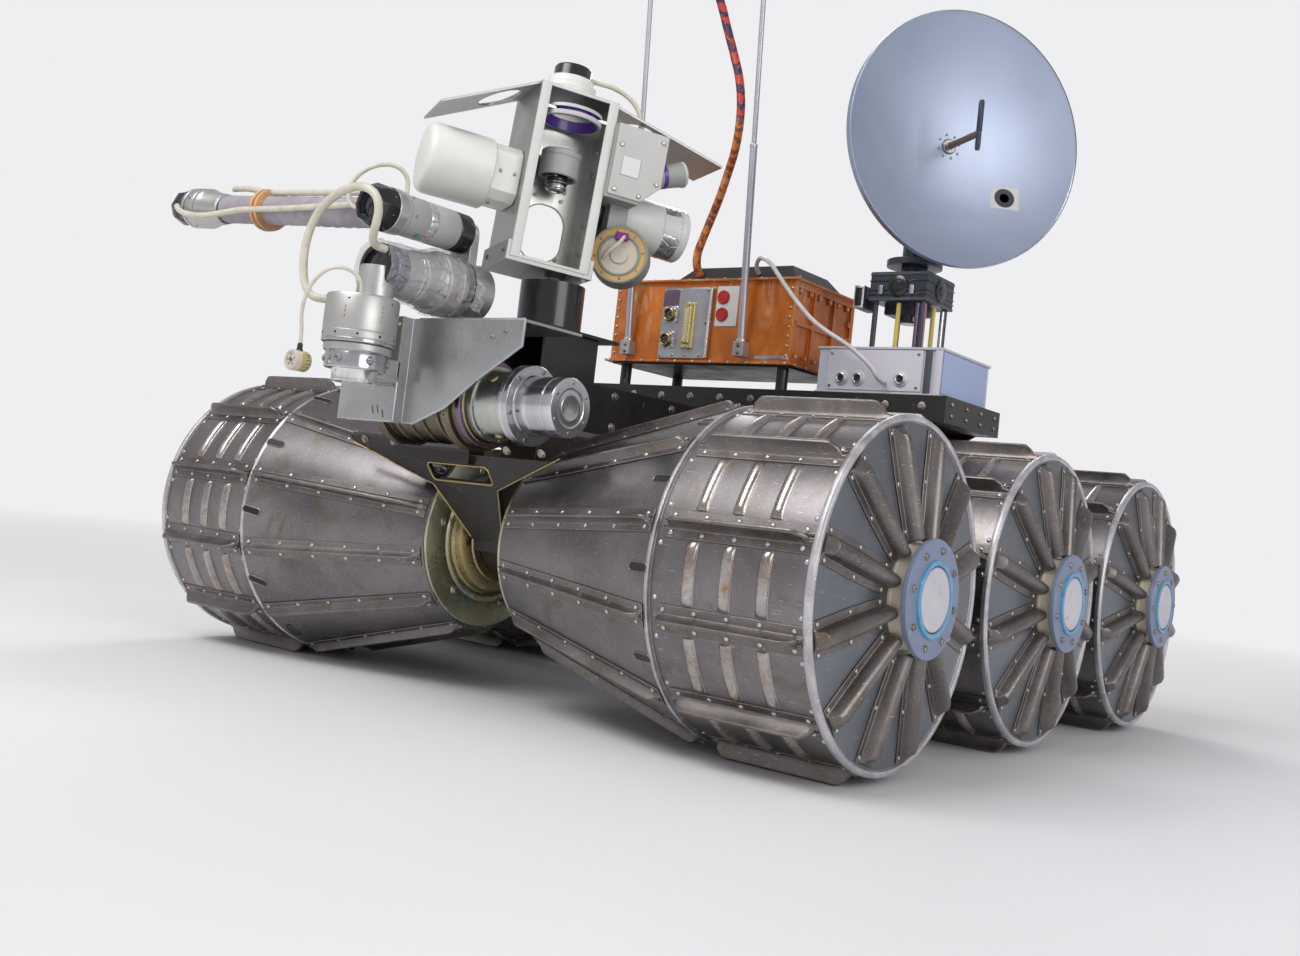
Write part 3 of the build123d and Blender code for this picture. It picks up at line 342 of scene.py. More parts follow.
metal("zinc_sheet", (0.40, 0.41, 0.41), (0.58, 0.59, 0.585), (0.24, 0.4), patches=5.0, grain=(1, 1, 0.04),
      scratch=0.3, edge=0.8)
metal("rod_grey", (0.40, 0.40, 0.44), (0.52, 0.52, 0.57), (0.34, 0.46), scratch=0.1, edge=0.1, metallic=0.7)
metal("knurl", (0.40, 0.38, 0.16), (0.60, 0.56, 0.28), (0.25, 0.4), scratch=0.3)
metal("socket_gold", (0.50, 0.38, 0.14), (0.74, 0.60, 0.28), (0.2, 0.34), scratch=0.2)
metal("wiped", (0.31, 0.36, 0.48), (0.41, 0.46, 0.57), (0.36, 0.48), patches=3.2, grain=(1, 1, 0.06),
      scratch=0.12, edge=0.1, metallic=0.75)

# Paints: the colour, its dirty tone, then the roughness range and the colour of chips
# Black standing for the shade in openings, slots and grooves: painted shade
paint("hole", (0.008, 0.007, 0.007), (0.004, 0.004, 0.004), edge=0.0)
paint("hub_plate", (0.20, 0.245, 0.36), (0.12, 0.15, 0.22), chip=(0.42, 0.42, 0.44), edge=0.7, chip_share=0.1)
paint("hub_band", (0.72, 0.64, 0.50), (0.42, 0.33, 0.24), (0.4, 0.6), chip=(0.30, 0.28, 0.26), edge=0.5,
      chip_share=0.05)
paint("hub_blue", (0.06, 0.32, 0.58), (0.30, 0.42, 0.50), patches=40.0, chip=(0.55, 0.60, 0.64), edge=0.3,
      chip_share=0.35, dirt=0.8)
paint("hub_disc", (0.60, 0.57, 0.62), (0.42, 0.39, 0.43), (0.4, 0.55), patches=30.0, chip=(0.25, 0.25, 0.28),
      chip_share=0.02)
paint("axle", (0.020, 0.015, 0.012), (0.055, 0.040, 0.028), (0.25, 0.4), chip=(0.30, 0.24, 0.16), dirt=0.7)
paint("black", (0.012, 0.011, 0.012), (0.035, 0.032, 0.032), (0.25, 0.42), chip=(0.25, 0.24, 0.23), edge=0.35,
      chip_share=0.02)
paint("brown", (0.014, 0.009, 0.010), (0.030, 0.020, 0.020), (0.22, 0.36), chip=(0.30, 0.24, 0.16), edge=0.35,
      chip_share=0.01)
paint("lid", (0.014, 0.012, 0.012), (0.045, 0.035, 0.028), (0.3, 0.45), chip=(0.3, 0.28, 0.26), edge=0.5)
paint("white_plate", (0.78, 0.76, 0.74), (0.6, 0.58, 0.56), (0.4, 0.5))
paint("red", (0.50, 0.015, 0.008), (0.32, 0.01, 0.006), (0.3, 0.42))
paint("case", (0.52, 0.52, 0.60), (0.40, 0.40, 0.47), (0.4, 0.55), chip=(0.3, 0.3, 0.32), edge=0.2)
paint("white", (0.80, 0.81, 0.77), (0.62, 0.62, 0.56), (0.32, 0.45), patches=9.0, chip=(0.40, 0.38, 0.33),
      edge=0.35, chip_share=0.03, dirt=0.5, coat=0.15)
paint("camera_grey", (0.42, 0.41, 0.39), (0.33, 0.32, 0.30), (0.42, 0.55), chip=(0.25, 0.24, 0.22), edge=0.3)
paint("frame_edge", (0.68, 0.69, 0.65), (0.56, 0.57, 0.53), (0.34, 0.46), chip=(0.42, 0.42, 0.40), edge=0.3)
paint("motor", (0.010, 0.011, 0.013), (0.03, 0.03, 0.034), (0.14, 0.24), chip=(0.2, 0.2, 0.2), edge=0.25,
      coat=0.3)
paint("dial", (0.006, 0.005, 0.008), (0.02, 0.012, 0.03), (0.08, 0.16), coat=0.8)
paint("plate", (0.28, 0.29, 0.25), (0.21, 0.21, 0.18), chip=(0.5, 0.5, 0.46), edge=0.5)
paint("amber", (0.62, 0.38, 0.13), (0.42, 0.25, 0.09), chip=(0.3, 0.28, 0.24), chip_share=0.05)
paint("cyan", (0.02, 0.38, 0.48), (0.02, 0.25, 0.33))
paint("pale_green", (0.48, 0.58, 0.36), (0.36, 0.44, 0.26), (0.4, 0.55))
paint("case_front", (0.60, 0.585, 0.645), (0.50, 0.485, 0.545), (0.42, 0.55))
paint("case_blue", (0.36, 0.44, 0.66), (0.28, 0.35, 0.55), (0.4, 0.52))
paint("case_plate", (0.34, 0.36, 0.33), (0.26, 0.27, 0.25), (0.42, 0.55), chip=(0.24, 0.24, 0.22), edge=0.3)
paint("cover", (0.56, 0.55, 0.53), (0.46, 0.45, 0.43), (0.4, 0.52), chip=(0.34, 0.33, 0.31), edge=0.3)
paint("channel", (0.07, 0.075, 0.085), (0.035, 0.04, 0.045), (0.3, 0.45), chip=(0.3, 0.3, 0.32))
paint("drive", (0.030, 0.036, 0.055), (0.015, 0.018, 0.028), (0.28, 0.42), chip=(0.25, 0.26, 0.30), edge=0.5)
paint("magenta", (0.24, 0.02, 0.26), (0.12, 0.01, 0.14), (0.25, 0.35), coat=0.5)
paint("violet", (0.10, 0.035, 0.28), (0.06, 0.02, 0.16), (0.25, 0.4), coat=0.3)
paint("ceramic", (0.62, 0.56, 0.47), (0.46, 0.40, 0.32), (0.4, 0.55))
paint("feed_dark", (0.018, 0.022, 0.045), (0.04, 0.04, 0.06), (0.3, 0.45))
paint("feed_brown", (0.14, 0.085, 0.06), (0.09, 0.05, 0.035), (0.4, 0.55))

# Lacquer, films, cloth and cables
lacquer("orange")
foil("foil")
clear_film("clear")
wound("mast_wrap")
cloth("sleeve", (0.46, 0.41, 0.45), (0.30, 0.26, 0.30))
cloth("tape_orange", (0.72, 0.42, 0.20), (0.50, 0.26, 0.12))
sheath("cream_cable", (0.66, 0.63, 0.52), (0.42, 0.38, 0.29), 0.42)
sheath("pale_cable", (0.62, 0.58, 0.58), (0.45, 0.42, 0.42), 0.5)
sheath("pink", (0.45, 0.16, 0.20), (0.25, 0.08, 0.10), 0.45)
sheath("yellow", (0.60, 0.45, 0.10), (0.40, 0.28, 0.06), 0.45)

# Turned metals, each with its axis
shoulder_axis, turret_axis = row_axis(shoulder, y_way), row_axis(turret_base, z_way)
spun("turned", (0.50, 0.505, 0.52), (0.70, 0.705, 0.72), shoulder_axis, (0.12, 0.24), 1300.0, 0.25)
spun("cap", (0.62, 0.63, 0.62), (0.86, 0.87, 0.86), shoulder_axis, (0.10, 0.2), 1100.0, 0.2)
spun("housing", (0.40, 0.42, 0.38), (0.58, 0.60, 0.55), shoulder_axis, (0.24, 0.36), 700.0, 0.6)
spun("dish", (0.36, 0.40, 0.51), (0.42, 0.465, 0.57), row_axis((0, 0, 0), x_way, dish_place), (0.34, 0.42),
     500.0, 0.75, 0.75)
spun("turret", (0.47, 0.475, 0.45), (0.55, 0.555, 0.53), turret_axis, (0.34, 0.44), 1200.0, 0.7, 0.75)
spun("turret_ring", (0.48, 0.49, 0.51), (0.68, 0.69, 0.71), turret_axis, (0.10, 0.2), 800.0, 0.2)


# Mesh building

def circle(count, start=0.0):
    """Angles spread evenly round a full turn."""
    return [start + 2 * pi * number / count for number in range(count)]


class Shape:
    """Points and faces in millimetres, each face with the name of its look."""

    def __init__(self):
        self.points, self.faces, self.names = [], [], []

    def add(self, points, faces, look, place=Matrix()):
        start = len(self.points)
        self.points += [place @ Vector(point) for point in points]
        self.faces += [[start + index for index in face] for face in faces]
        self.names += [look] * len(faces)

    def rows(self, rows, look, place=Matrix(), around=False, ends=True):
        """A skin over rows of points; around joins each row's ends, ends closes the first and last row."""
        count = len(rows[0])
        faces = []
        for number in range(len(rows) - 1):
            low, high = number * count, (number + 1) * count
            for index in range(count if around else count - 1):
                beside = (index + 1) % count
                faces.append((low + index, low + beside, high + beside, high + index))
        if ends:
            faces.append(tuple(range(count))[::-1])
            faces.append(tuple(range((len(rows) - 1) * count, len(rows) * count)))
        self.add([point for row in rows for point in row], faces, look, place)

    def turned(self, profile, look, place=Matrix(), segments=48, ends=True):
        """Turn (radius, height) points about the place's Z axis."""
        self.rows([[(radius * cos(angle), radius * sin(angle), height) for angle in circle(segments)]
                   for radius, height in profile], look, place, around=True, ends=ends)

    def bands(self, place, segments, *table):
        """Turned bands without ends, each a look and its profile of (radius, height)."""
        for look, *profile in table:
            self.turned(profile, look, place, segments, ends=False)

    def prism(self, outline, low, high, look, place=Matrix(), chamfer=0.0):
        """Extrude an outline along Z, with its edges cut by a chamfer."""
        sections = [(outline, low), (outline, high)]
        if chamfer:
            inner = shrunk(outline, chamfer)
            sections = [(inner, low), (outline, low + chamfer), (outline, high - chamfer), (inner, high)]
        self.rows([[(x, y, z) for x, y in line] for line, z in sections], look, place, around=True)

    def slab(self, x, y, z, look, place=Matrix(), chamfer=0.8):
        """A block from (low, high) pairs with cut edges and rounded corners."""
        corner = min(chamfer * 1.5, (x[1] - x[0]) / 3, (y[1] - y[0]) / 3)
        self.prism(rounded(x, y, corner, 2), z[0], z[1], look, place, chamfer)

    def slabs(self, place, *table):
        """Blocks, each an x, y and z pair, a look and the width of its cut edges."""
        for x, y, z, look, chamfer in table:
            self.slab(x, y, z, look, place, chamfer)

    def tube(self, points, radius, look, place=Matrix(), sides=12):
        """A round bar along a polyline."""
        points = [Vector(point) for point in points]
        side = None
        rows = []
        for number, point in enumerate(points):
            way = (points[min(number + 1, len(points) - 1)] - points[max(number - 1, 0)]).normalized()
            if side is None:
                side = way.orthogonal().normalized()
            side = (side - way * side.dot(way)).normalized()
            other = way.cross(side)
            rows.append([point + (side * cos(angle) + other * sin(angle)) * radius
                         for angle in circle(sides)])
        self.rows(rows, look, place, around=True)

    def ring(self, points, radius, look, place=Matrix(), sides=8):
        """A round bar along a closed line."""
        self.tube(points + points[:1], radius, look, place, sides)

    def dome(self, place, radius, height, look="rivet", sides=8):
        """A rivet's head on the place's Z axis."""
        self.turned([(radius, 0), (radius * 0.92, height * 0.5), (radius * 0.6, height * 0.88),
                     (radius * 0.2, height)], look, place, sides)

    def screw(self, place, radius, height, look="bolt"):
        """A slotted pan head; the slot is a flat black quad of painted shade."""
        self.turned([(radius, 0), (radius, height * 0.6), (radius * 0.8, height)], look, place, 14)
        long, half, top = radius * 0.75, radius * 0.13, height + 0.05
        self.add([(-long, -half, top), (long, -half, top), (long, half, top), (-long, half, top)],
                 [(0, 1, 2, 3)],
                 "hole", place)

    def hexagon(self, place, radius, height, look="bolt"):
        """A hexagon head with cut corners on a washer."""
        self.turned([(radius * 1.3, 0), (radius * 1.3, height * 0.16), (radius * 1.2, height * 0.2)], look,
                    place, 16)
        self.turned([(radius, height * 0.2), (radius, height * 0.85), (radius * 0.86, height)], look, place,
                    6)


    def domes(self, places, *sizes):
        for place in places:
            self.dome(place, *sizes)

    def screws(self, places, *sizes):
        for place in places:
            self.screw(place, *sizes)

    def hexagons(self, places, *sizes):
        for place in places:
            self.hexagon(place, *sizes)

    def studs(self, places, look, segments, *profile):
        """A small turned part at each place."""
        for place in places:
            self.turned(profile, look, place, segments)


def shrunk(outline, distance):
    """An outline moved inwards."""
    area = sum(a[0] * b[1] - b[0] * a[1] for a, b in zip(outline, outline[1:] + outline[:1]))
    sign = 1 if area > 0 else -1
    result = []
    for before, point, after in zip(outline[-1:] + outline[:-1], outline, outline[1:] + outline[:1]):
        ways = [(Vector(point) - Vector(before)).normalized(), (Vector(after) - Vector(point)).normalized()]
        normals = [Vector((-way.y, way.x)) * sign for way in ways]
        middle = normals[0] + normals[1]
        result.append(tuple(Vector(point) + middle * distance * (2 / max(middle.length_squared, 0.6))))
    return result


def rounded(x, y, radius, steps=4):
    """A rectangle's outline with rounded corners."""
    corners = [(x[1] - radius, y[1] - radius), (x[0] + radius, y[1] - radius), (x[0] + radius, y[0] + radius),
               (x[1] - radius, y[0] + radius)]
    angles = [(corner, pi / 2 * (number + step / steps)) for number, corner in enumerate(corners)
              for step in range(steps + 1)]
    return [(cx + radius * cos(angle), cy + radius * sin(angle)) for (cx, cy), angle in angles]


def on(point, normal, turn=0.0):
    """A place at a point with Z along the normal."""
    rotation = Vector(normal).to_track_quat("Z", "Y").to_matrix().to_4x4()
    return Matrix.Translation(point) @ rotation @ Matrix.Rotation(turn, 4, "Z")


def places(points, normal, place=Matrix()):
    """Places at several points that face one way."""
    return [place @ on(point, normal) for point in points]


def ring_of(count, radius, height=0.0, start=0.0, place=Matrix()):
    """Places on a circle about Z, with Z kept upright."""
    return [place @ at(radius * cos(angle), radius * sin(angle), height) @ Matrix.Rotation(angle, 4, "Z")
            for angle in circle(count, start)]


def side_place(radius, height, angle):
    """A place on a drum's side, with Z outwards."""
    return on((radius * cos(angle), radius * sin(angle), height), (cos(angle), sin(angle), 0))


def round_side(count, radius, height, start=0.0, place=Matrix()):
    """Places spread round a drum's side."""
    return [place @ side_place(radius, height, angle) for angle in circle(count, start)]


def mesh_of(name, shape, place=Matrix(), smooth=40.0):
    """The shape as a mesh in metres, with sharp edges kept."""
    mesh = bpy.data.meshes.new(name)
    mesh.from_pydata([place @ point for point in shape.points], [], shape.faces)
    names = sorted(set(shape.names))
    for look in names:
        mesh.materials.append(looks[look])
    mesh.polygons.foreach_set("material_index", [names.index(look) for look in shape.names])
    mesh.shade_smooth()
    mesh.set_sharp_from_angle(angle=radians(smooth))
    mesh.validate()
    return mesh


def put(name, data):
    """A new object in the scene."""
    made = bpy.data.objects.new(name, data)
    bpy.context.scene.collection.objects.link(made)
    return made


def show(name, mesh, body, replaces=(), place=Matrix()):
    made = put(name, mesh)
    made.matrix_world = place
    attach(made, body)
    if replaces:
        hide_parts(*replaces)
    return made


def piece(name, shape, body, replaces=(), smooth=40.0):
    """A shape in the rover's frame, riding on a body."""
    return show(name, mesh_of(name, shape, to_row, smooth), body, replaces)


# Free cords, each a spline with its route's points from the part's source

def between(start, end, points):
    """A route from start to end; the points are (share of the way, x, y, z aside from it)."""
    start, end = Vector(start), Vector(end)
    inner = [tuple(start + (end - start) * share + Vector((x, y, z))) for share, x, y, z in points]
    return [tuple(start), *inner, tuple(end)]


def moved(points, x, y, z):
    return [(x + a, y + b, z + c) for a, b, c in points]


def line_through(name, points, resolution):
    """A smooth curve along the points, which it only touches at its ends."""
    curve = bpy.data.curves.new(name, "CURVE")
    curve.dimensions = "3D"
    curve.resolution_u = resolution
    spline = curve.splines.new("NURBS")
    spline.points.add(len(points) - 1)
    for held, point in zip(spline.points, points):
        held.co = (*point, 1.0)
    spline.order_u = 3
    spline.use_endpoint_u = True
    return curve


def cord(node, points, diameter, look, body, place=Matrix()):
    points = [to_row @ place @ Vector(point) for point in points]
    curve = line_through(f"{node}_curve", points, 10)
    curve.bevel_depth = diameter / 2000
    curve.bevel_resolution = 5
    curve.use_fill_caps = True
    curve.materials.append(looks[look])
    made = show(f"{node}_line", curve, body, (node,))


cable_gap = 0.3
slope = Vector((26, 0, 22)).normalized() * cable_gap
gland = (-6 + 70 - 11 + slope.x, 72, box_top + 13 + slope.z)
socket = (70 + cable_gap, 366 - 76, control_top - 45)
cord("box_cable", between(gland, socket, [
    (0.0, 8, 0, 6.8), (0.05, 16, -5, 20), (0.1, 24, -6, 31), (0.17, 31, -8, 38), (0.24, 37, -8, 40),
    (0.31, 41, -8, 35), (0.39, 43, -7, 27), (0.48, 45, -3, 17), (0.58, 45, -1, 10), (0.67, 43, 4, 8),
    (0.76, 39, 12, 7), (0.84, 35, 15, 4), (0.91, 29, 14, 1), (0.97, 22, 6, -1), (1.0, 11, 0, 0),
]), 6.0, "pale_cable", "chassis")
lean = sin(radians(4.3)) / cos(radians(4.3))
bar = (82 + 8 + 550 * lean, -18, box_bottom + 3 + 6 + 550)
gland = (gland[0], -28, gland[2])
cord("mast_cable", between(gland, (bar[0] - 6, bar[1], bar[2] - 4), [
    (0.0, 8.4, 0, 7.2), (0.05, 9.6, 0, -3), (0.08, 8, 1, -2), (0.12, 2, 4, -2), (0.16, -4, 8, 0),
    (0.21, -7, 16, 0), (0.27, -7, 27, -2), (0.34, -4, 40, -5), (0.41, -1, 53, -7), (0.48, -1, 59, -6),
    (0.56, -6, 58, -6), (0.65, -14, 49, -6), (0.74, -23, 32, -6), (0.82, -28, 16, -3), (0.9, -29, 5, -4),
    (0.96, -18, 0, -3),
]), 12.0, "mast_wrap", "chassis")
cord("turret_loop", moved([
    (-7.7, 16, 54), (5, 16, 54), (15, 21, 57), (23, 30, 63), (28, 39, 73), (30, 43, 86),
    (31, 39, 99), (32, 28, 108), (33, 13, 112), (34, -4, 111), (35, -20, 106), (36, -36, 97),
    (37, -49, 84), (37, -58, 68), (37, -62, 51), (37, -62, 34), (36, -60, 18), (35, -55, 5),
    (31.5, -48, -4), (27, -39.5, -6), (22.2, -32.5, -6),
], turret_base.x, turret_base.y, turret_top), 9.0, "cream_cable",
     "arm_turret")
plug = Vector((turret_base.x + 49, turret_base.y - 33, turret_top - 77))
cord("lens_cable", moved([
    (-2, -25.3, 0), (-2, -36, 0), (-1, -45, 6), (0, -49, 18), (-2, -46, 31),
    (-7, -37, 43), (-15, -25, 51), (-25, -13, 54), (-34, -4, 50), (-40, 0, 41),
    (-41, 0, 32), (-41, 0.4, 23.3),
], turret_base.x, turret_base.y, forearm_z), 5.0, "cream_cable",
     "arm_elbow")
cap_z = frame_top + 34
shelf_z = frame_bottom + 187.8
cord("head_cable", moved([
    (-23.3, 0, cap_z), (-36, 0, cap_z), (-50, 3, cap_z), (-65, 9, cap_z - 5),
    (-78, 15, cap_z - 14), (-87, 20, cap_z - 27), (-91, 23, shelf_z + 15), (-91, 23, shelf_z),
], head_x, 0, 0), 6.0, "cream_cable", "camera_head",
head_place)

# The plug hangs on its cord
shape = Shape()
plug_place = Matrix.Translation(plug) @ turned_x
shape.bands(plug_place, 48, ("knurl", (0.3, -10), (9.8, -10), (10.4, -9.4), (10.4, -1.2)),
            ("amber", (10.4, -1.2), (10.8, -0.8), (10.8, 1.2), (10.4, 1.6)),
            ("ceramic", (10.4, 1.6), (11.0, 2.2), (11.0, 8.8), (10.2, 10), (8.0, 10), (7.6, 9.2), (3.2, 9.2)))
for ridge in round_side(18, 10.2, -5.4, 0.0, plug_place):
    shape.slab((-0.6, 0.6), (-3.6, 3.6), (0, 0.7), "knurl", ridge, 0.25)
shape.bands(plug_place, 24, ("bolt", (3.2, 9.2), (3.0, 9.9), (2.2, 9.9), (1.8, 8.0), (0.3, 8.0)))
# The plug's pin openings are black domes of painted shade
for angle in (0.6, 1.9, 3.3, 4.6, 5.6):
    shape.dome(plug_place @ on((5.5 * cos(angle), 5.5 * sin(angle), 9.2), z_way), 0.9, 0.6, "hole")
boot = on(plug + Vector((0, 0, 9.5)), z_way)
shape.turned([(3.6, 0), (3.6, 2.5), (2.9, 3.6), (2.8, 8.0), (2.2, 9.5)], "motor", boot, 20)
plug_skin = piece("plug_skin", shape, "arm_turret", ("plug",))
cord("plug_cable", moved([
    (-28, 53, 77.3), (-28, 53, 87), (-24, 48, 96), (-16, 39, 102), (-7, 28, 101), (-1, 17, 93),
    (3, 8, 80), (4, 2, 65), (3, -1, 48), (0, 0, 32), (0, 0, 11.3),
], *plug), 4.0, "cream_cable", "arm_turret")


# Wheels; a wheel's own frame has the axle along Y with its outer side at +Y

lug_count = 12
half_pitch = pi / lug_count
lug_angles = circle(lug_count, half_pitch)
cone_start, wide_end, cone_length = 109.0, 176.5, 257.0
cone_slope = (wide_end - cone_start) / cone_length


def cone_radius(y):
    return cone_start + (y - small_end) * cone_slope


def around_axle(angle, radius, y, tangent=0.0):
    """A point of the wheel from its angle, radius, place along the axle and tangential offset."""
    return Vector((radius * cos(angle) - tangent * sin(angle), y, radius * sin(angle) + tangent * cos(angle)))


def surface_place(angle, radius, y, tangent, slope=0.0):
    """A place on the sheet with Z outwards; slope is the sheet's own."""
    angle = angle + tangent / radius
    return on(around_axle(angle, radius, y), (around_axle(angle, 1, 0) - Vector((0, slope, 0))).normalized())


def lug(shape, angle, low, high, radius_at, height, flange, lean, ramp, rivets, slope):
    """A folded lug: two riveted flanges and a web with sloping ends."""
    half = [(-flange, 0.0, 0), (-flange, 1.3, 0), (-5.0, 1.5, 0), (-2.8, 3.2, 0.1), (-1.9, 0, 1),
            (-0.8, 0.6, 1)]
    section = half + [(-tangent, rise, web) for tangent, rise, web in reversed(half)]
    stations = [(low - 4, 0.06), (low, 0.10), (low + ramp * 0.35, 0.62), (low + ramp, 0.97),
                (low + ramp * 1.5, 1.0),
                (high - ramp * 1.5, 1.0), (high - ramp, 0.97), (high - ramp * 0.35, 0.62), (high, 0.10),
                (high + 4, 0.06)]
    rows = []
    for y, share in stations:
        base = radius_at(y)
        row = []
        for tangent, rise, web in section:
            drop = base - sqrt(base ** 2 - tangent ** 2)
            up = rise if web == 0 else max(rise + 1.6, height * share * web + (rise if web == 1 else 0))
            row.append(around_axle(angle, base - drop + up, y, tangent + lean * up / height))
        rows.append(row)
    shape.rows(rows, "lug", around=True)
    for side in (-1, 1):
        for number in range(rivets):
            y = low + 5 + (high - low - 10) * number / (rivets - 1)
            shape.dome(surface_place(angle, radius_at(y) + 1.2, y, side * (flange - 5.0), slope), 2.7, 1.7)


def bead(shape, middle, y0):
    """A pressed half-round bead between two lugs, faded at its ends."""
    reach = half_pitch - 15.5 / shell_radius
    steps = 14
    rows = []
    for step in range(steps + 1):
        along = middle - reach + 2 * reach * step / steps
        fade = min(1.0, 0.5 + 1.5 * min(step, steps - step) / 2)
        rows.append([around_axle(along, shell_radius - 0.4 + 4.6 * fade * sin(pi * k / 8),
                                 y0 - 6.3 * cos(pi * k / 8))
                     for k in range(9)])
    shape.rows(rows, "bead")


def wheel_shell():
    shape = Shape()
    end = rim_plane - 8
    shape.bands(turn_to_y, 144, (
        "sheet", (96, small_end + 6), (106.5, small_end + 1.5), (108.6, small_end + 0.2),
        (109.2, small_end + 1.6),
        (cone_radius(190) - 0.6, 190), (cone_radius(joint_plane - 4) - 0.4, joint_plane - 4),
    ), (
        "hoop", (cone_radius(joint_plane - 4) - 0.4, joint_plane - 4), (wide_end - 0.5, joint_plane - 1.8),
        (wide_end, joint_plane - 0.6), (wide_end - 0.9, joint_plane + 0.3), (shell_radius, joint_plane + 0.6),
    ), (
        "sheet", (shell_radius, joint_plane + 0.6), (shell_radius, joint_plane + 60),
        (shell_radius, end - 50),
        (shell_radius, end),
    ))
    for angle in lug_angles:
        lug(shape, angle, joint_plane + 12, end - 4, lambda y: shell_radius, 16.8, 13.5, 1.4, 11, 5, 0.0)
        lug(shape, angle, small_end + 7, joint_plane - 9, cone_radius, 10.6, 11.5, 1.0, 9, 6, cone_slope)
        middle = angle + half_pitch
        for share in (0.26, 0.5, 0.74):
            bead(shape, middle, joint_plane + share * (end - joint_plane))
        # Each slot is a black sheet of painted shade on the cone, with a rolled rim round it
        place = surface_place(middle, cone_radius(joint_plane - 15), joint_plane - 15, 0, cone_slope)
        shape.prism(rounded((-13, 13), (-4, 4), 3.99, 6), -0.2, 0.25, "hole", place)
        rim = [(x, y, 0.2) for x, y in rounded((-13.5, 13.5), (-4.5, 4.5), 4.49, 6)]
        shape.ring(rim, 0.7, "sheet", place, 6)
        for tangent, y in ((20, end - 3.2), (19, joint_plane + 6.5)):
            for side in (-1, 1):
                shape.dome(surface_place(angle, shell_radius, y, side * tangent), 2.4, 1.4)
    return shape


def wheel_face():
    shape = Shape()
    start = rim_plane - 8
    rise = (12.0 + 1.6) / (167.6 - 54.0)

    def sheet_y(radius):
        return start + 4.6 + (167.6 - radius) * rise

    shape.bands(turn_to_y, 144, (
        "hoop", (shell_radius - 0.5, start - 0.5), (174.2, start + 0.3), (175.0, start + 2.2),
        (175.0, start + 5.2),
        (173.6, start + 7.4), (171.0, start + 8.0), (168.6, start + 7.0), (167.6, start + 4.6),
    ))
    shape.bands(turn_to_y, 96, ("face", *((radius, sheet_y(radius)) for radius in (167.6, 110.0, 54.0))))
    half = [(-17.5, 0.2), (-17.5, 1.2), (-10.2, 1.3), (-9.0, 5.0), (-7.6, 9.5), (-5.0, 12.6), (-1.8, 13.9)]
    section = half + [(-tangent, up) for tangent, up in reversed(half)]
    stations = [(165.0, 0.05), (163.5, 0.35), (158.5, 0.88), (153.0, 1.0), (110.0, 1.0), (66.0, 1.0),
                (57.5, 1.0)]
    for angle in lug_angles:
        rows = []
        for radius, share in stations:
            narrow = 1.0 if radius > 80 else 0.80 + 0.2 * (radius - 57.5) / 22.5
            rows.append([around_axle(angle, radius,
                                     sheet_y(radius) + (up if up < 2 else 1.3 + (up - 1.3) * share),
                                     tangent * narrow) for tangent, up in section])
        shape.rows(rows, "lug", around=True)
        for side in (-1, 1):
            for radius in (160.0, 112.0, 66.0):
                tangent = side * 13.8 * (1.0 if radius > 80 else 0.86)
                shape.dome(on(around_axle(angle, radius, sheet_y(radius) + 1.1, tangent), y_way), 2.5, 1.5)
    return shape


def wheel_hub():
    shape = Shape()
    seat = rim_plane + 12
    band = seat + 14
    plate = band + 6
    # The black band inside the blue ring is painted shade in the groove round the cap
    shape.bands(turn_to_y, 64, ("hub_band", (54.0, seat - 2), (54.0, seat + 0.5), (52.8, seat + 1.5),
                                (52.2, band)), (
        "hub_blue", (37.6, plate), (37.2, plate + 2.4), (36.4, plate + 3.0), (33.2, plate + 3.0),
        (32.4, plate + 1.6),
    ), ("hole", (32.4, plate + 1.6), (31.2, plate + 1.5)))
    shape.bands(turn_to_y, 72, ("hub_plate", (52.0, band), (57.4, band + 0.1), (58.0, band + 0.8),
                                (58.0, plate - 1.0),
                                (57.2, plate), (37.6, plate)))
    shape.turned([(31.2, plate + 1.5), (30.4, plate + 2.3), (29.0, plate + 2.6), (0.5, plate + 2.7)],
                 "hub_disc", turn_to_y, 64)
    for angle in circle(8, radians(12)):
        shape.screw(on(around_axle(angle, 47.5, plate), y_way, angle), 3.4, 2.6)
    inner = small_end - 4
    disc = [(108.0, -4.0), (108.0, -0.6), (107.0, 0), (92.0, 0), (90.0, 0.8), (78.0, 0.8), (75.0, 3.2),
            (72.0, 3.6),
            (70.0, 1.0)]
    boss = [(70.0, 1.0), (66.5, 4.0), (64.0, 12.0), (57.0, 17.0), (52.0, 18.0), (51.0, 20.0), (43.0, 20.0)]
    shape.bands(turn_x, 96, ("zinc", *((radius, rise - inner) for radius, rise in disc)))
    shape.turned([(radius, rise - inner) for radius, rise in boss], "brass", turn_x, 96)
    for number, angle in enumerate(circle(6, radians(20))):
        place = on(around_axle(angle, 84.0, inner - 0.6), (0, -1, 0), angle)
        shape.hexagon(place, 4.0, 4.2, "bolt" if number % 2 else "zinc")
    return shape


wheel_meshes = {part: mesh_of(f"wheel_{part}_mesh", build(), Matrix.Scale(0.001, 4), 32)
                for part, build in (("shell", wheel_shell), ("face", wheel_face), ("hub", wheel_hub))}
start_angles = {"front": (0, 30), "mid": (30, 0), "rear": (60, 90)}
for number, (axle, angles) in enumerate(start_angles.items()):
    for side, half_turn, angle in (("left", 0, angles[0]), ("right", pi, angles[1])):
        wheel = f"wheel_{axle}_{side}"
        centre = (Matrix.Translation(to_row @ Vector((axle_spacing * (1 - number), 0, axle_z)))
                  @ Matrix.Rotation(half_turn, 4, "Z") @ Matrix.Rotation(radians(angle), 4, "Y"))
        for part, mesh in wheel_meshes.items():
            show(f"{wheel}_{part}_skin", mesh, wheel, (f"{wheel}_{part}",), centre)

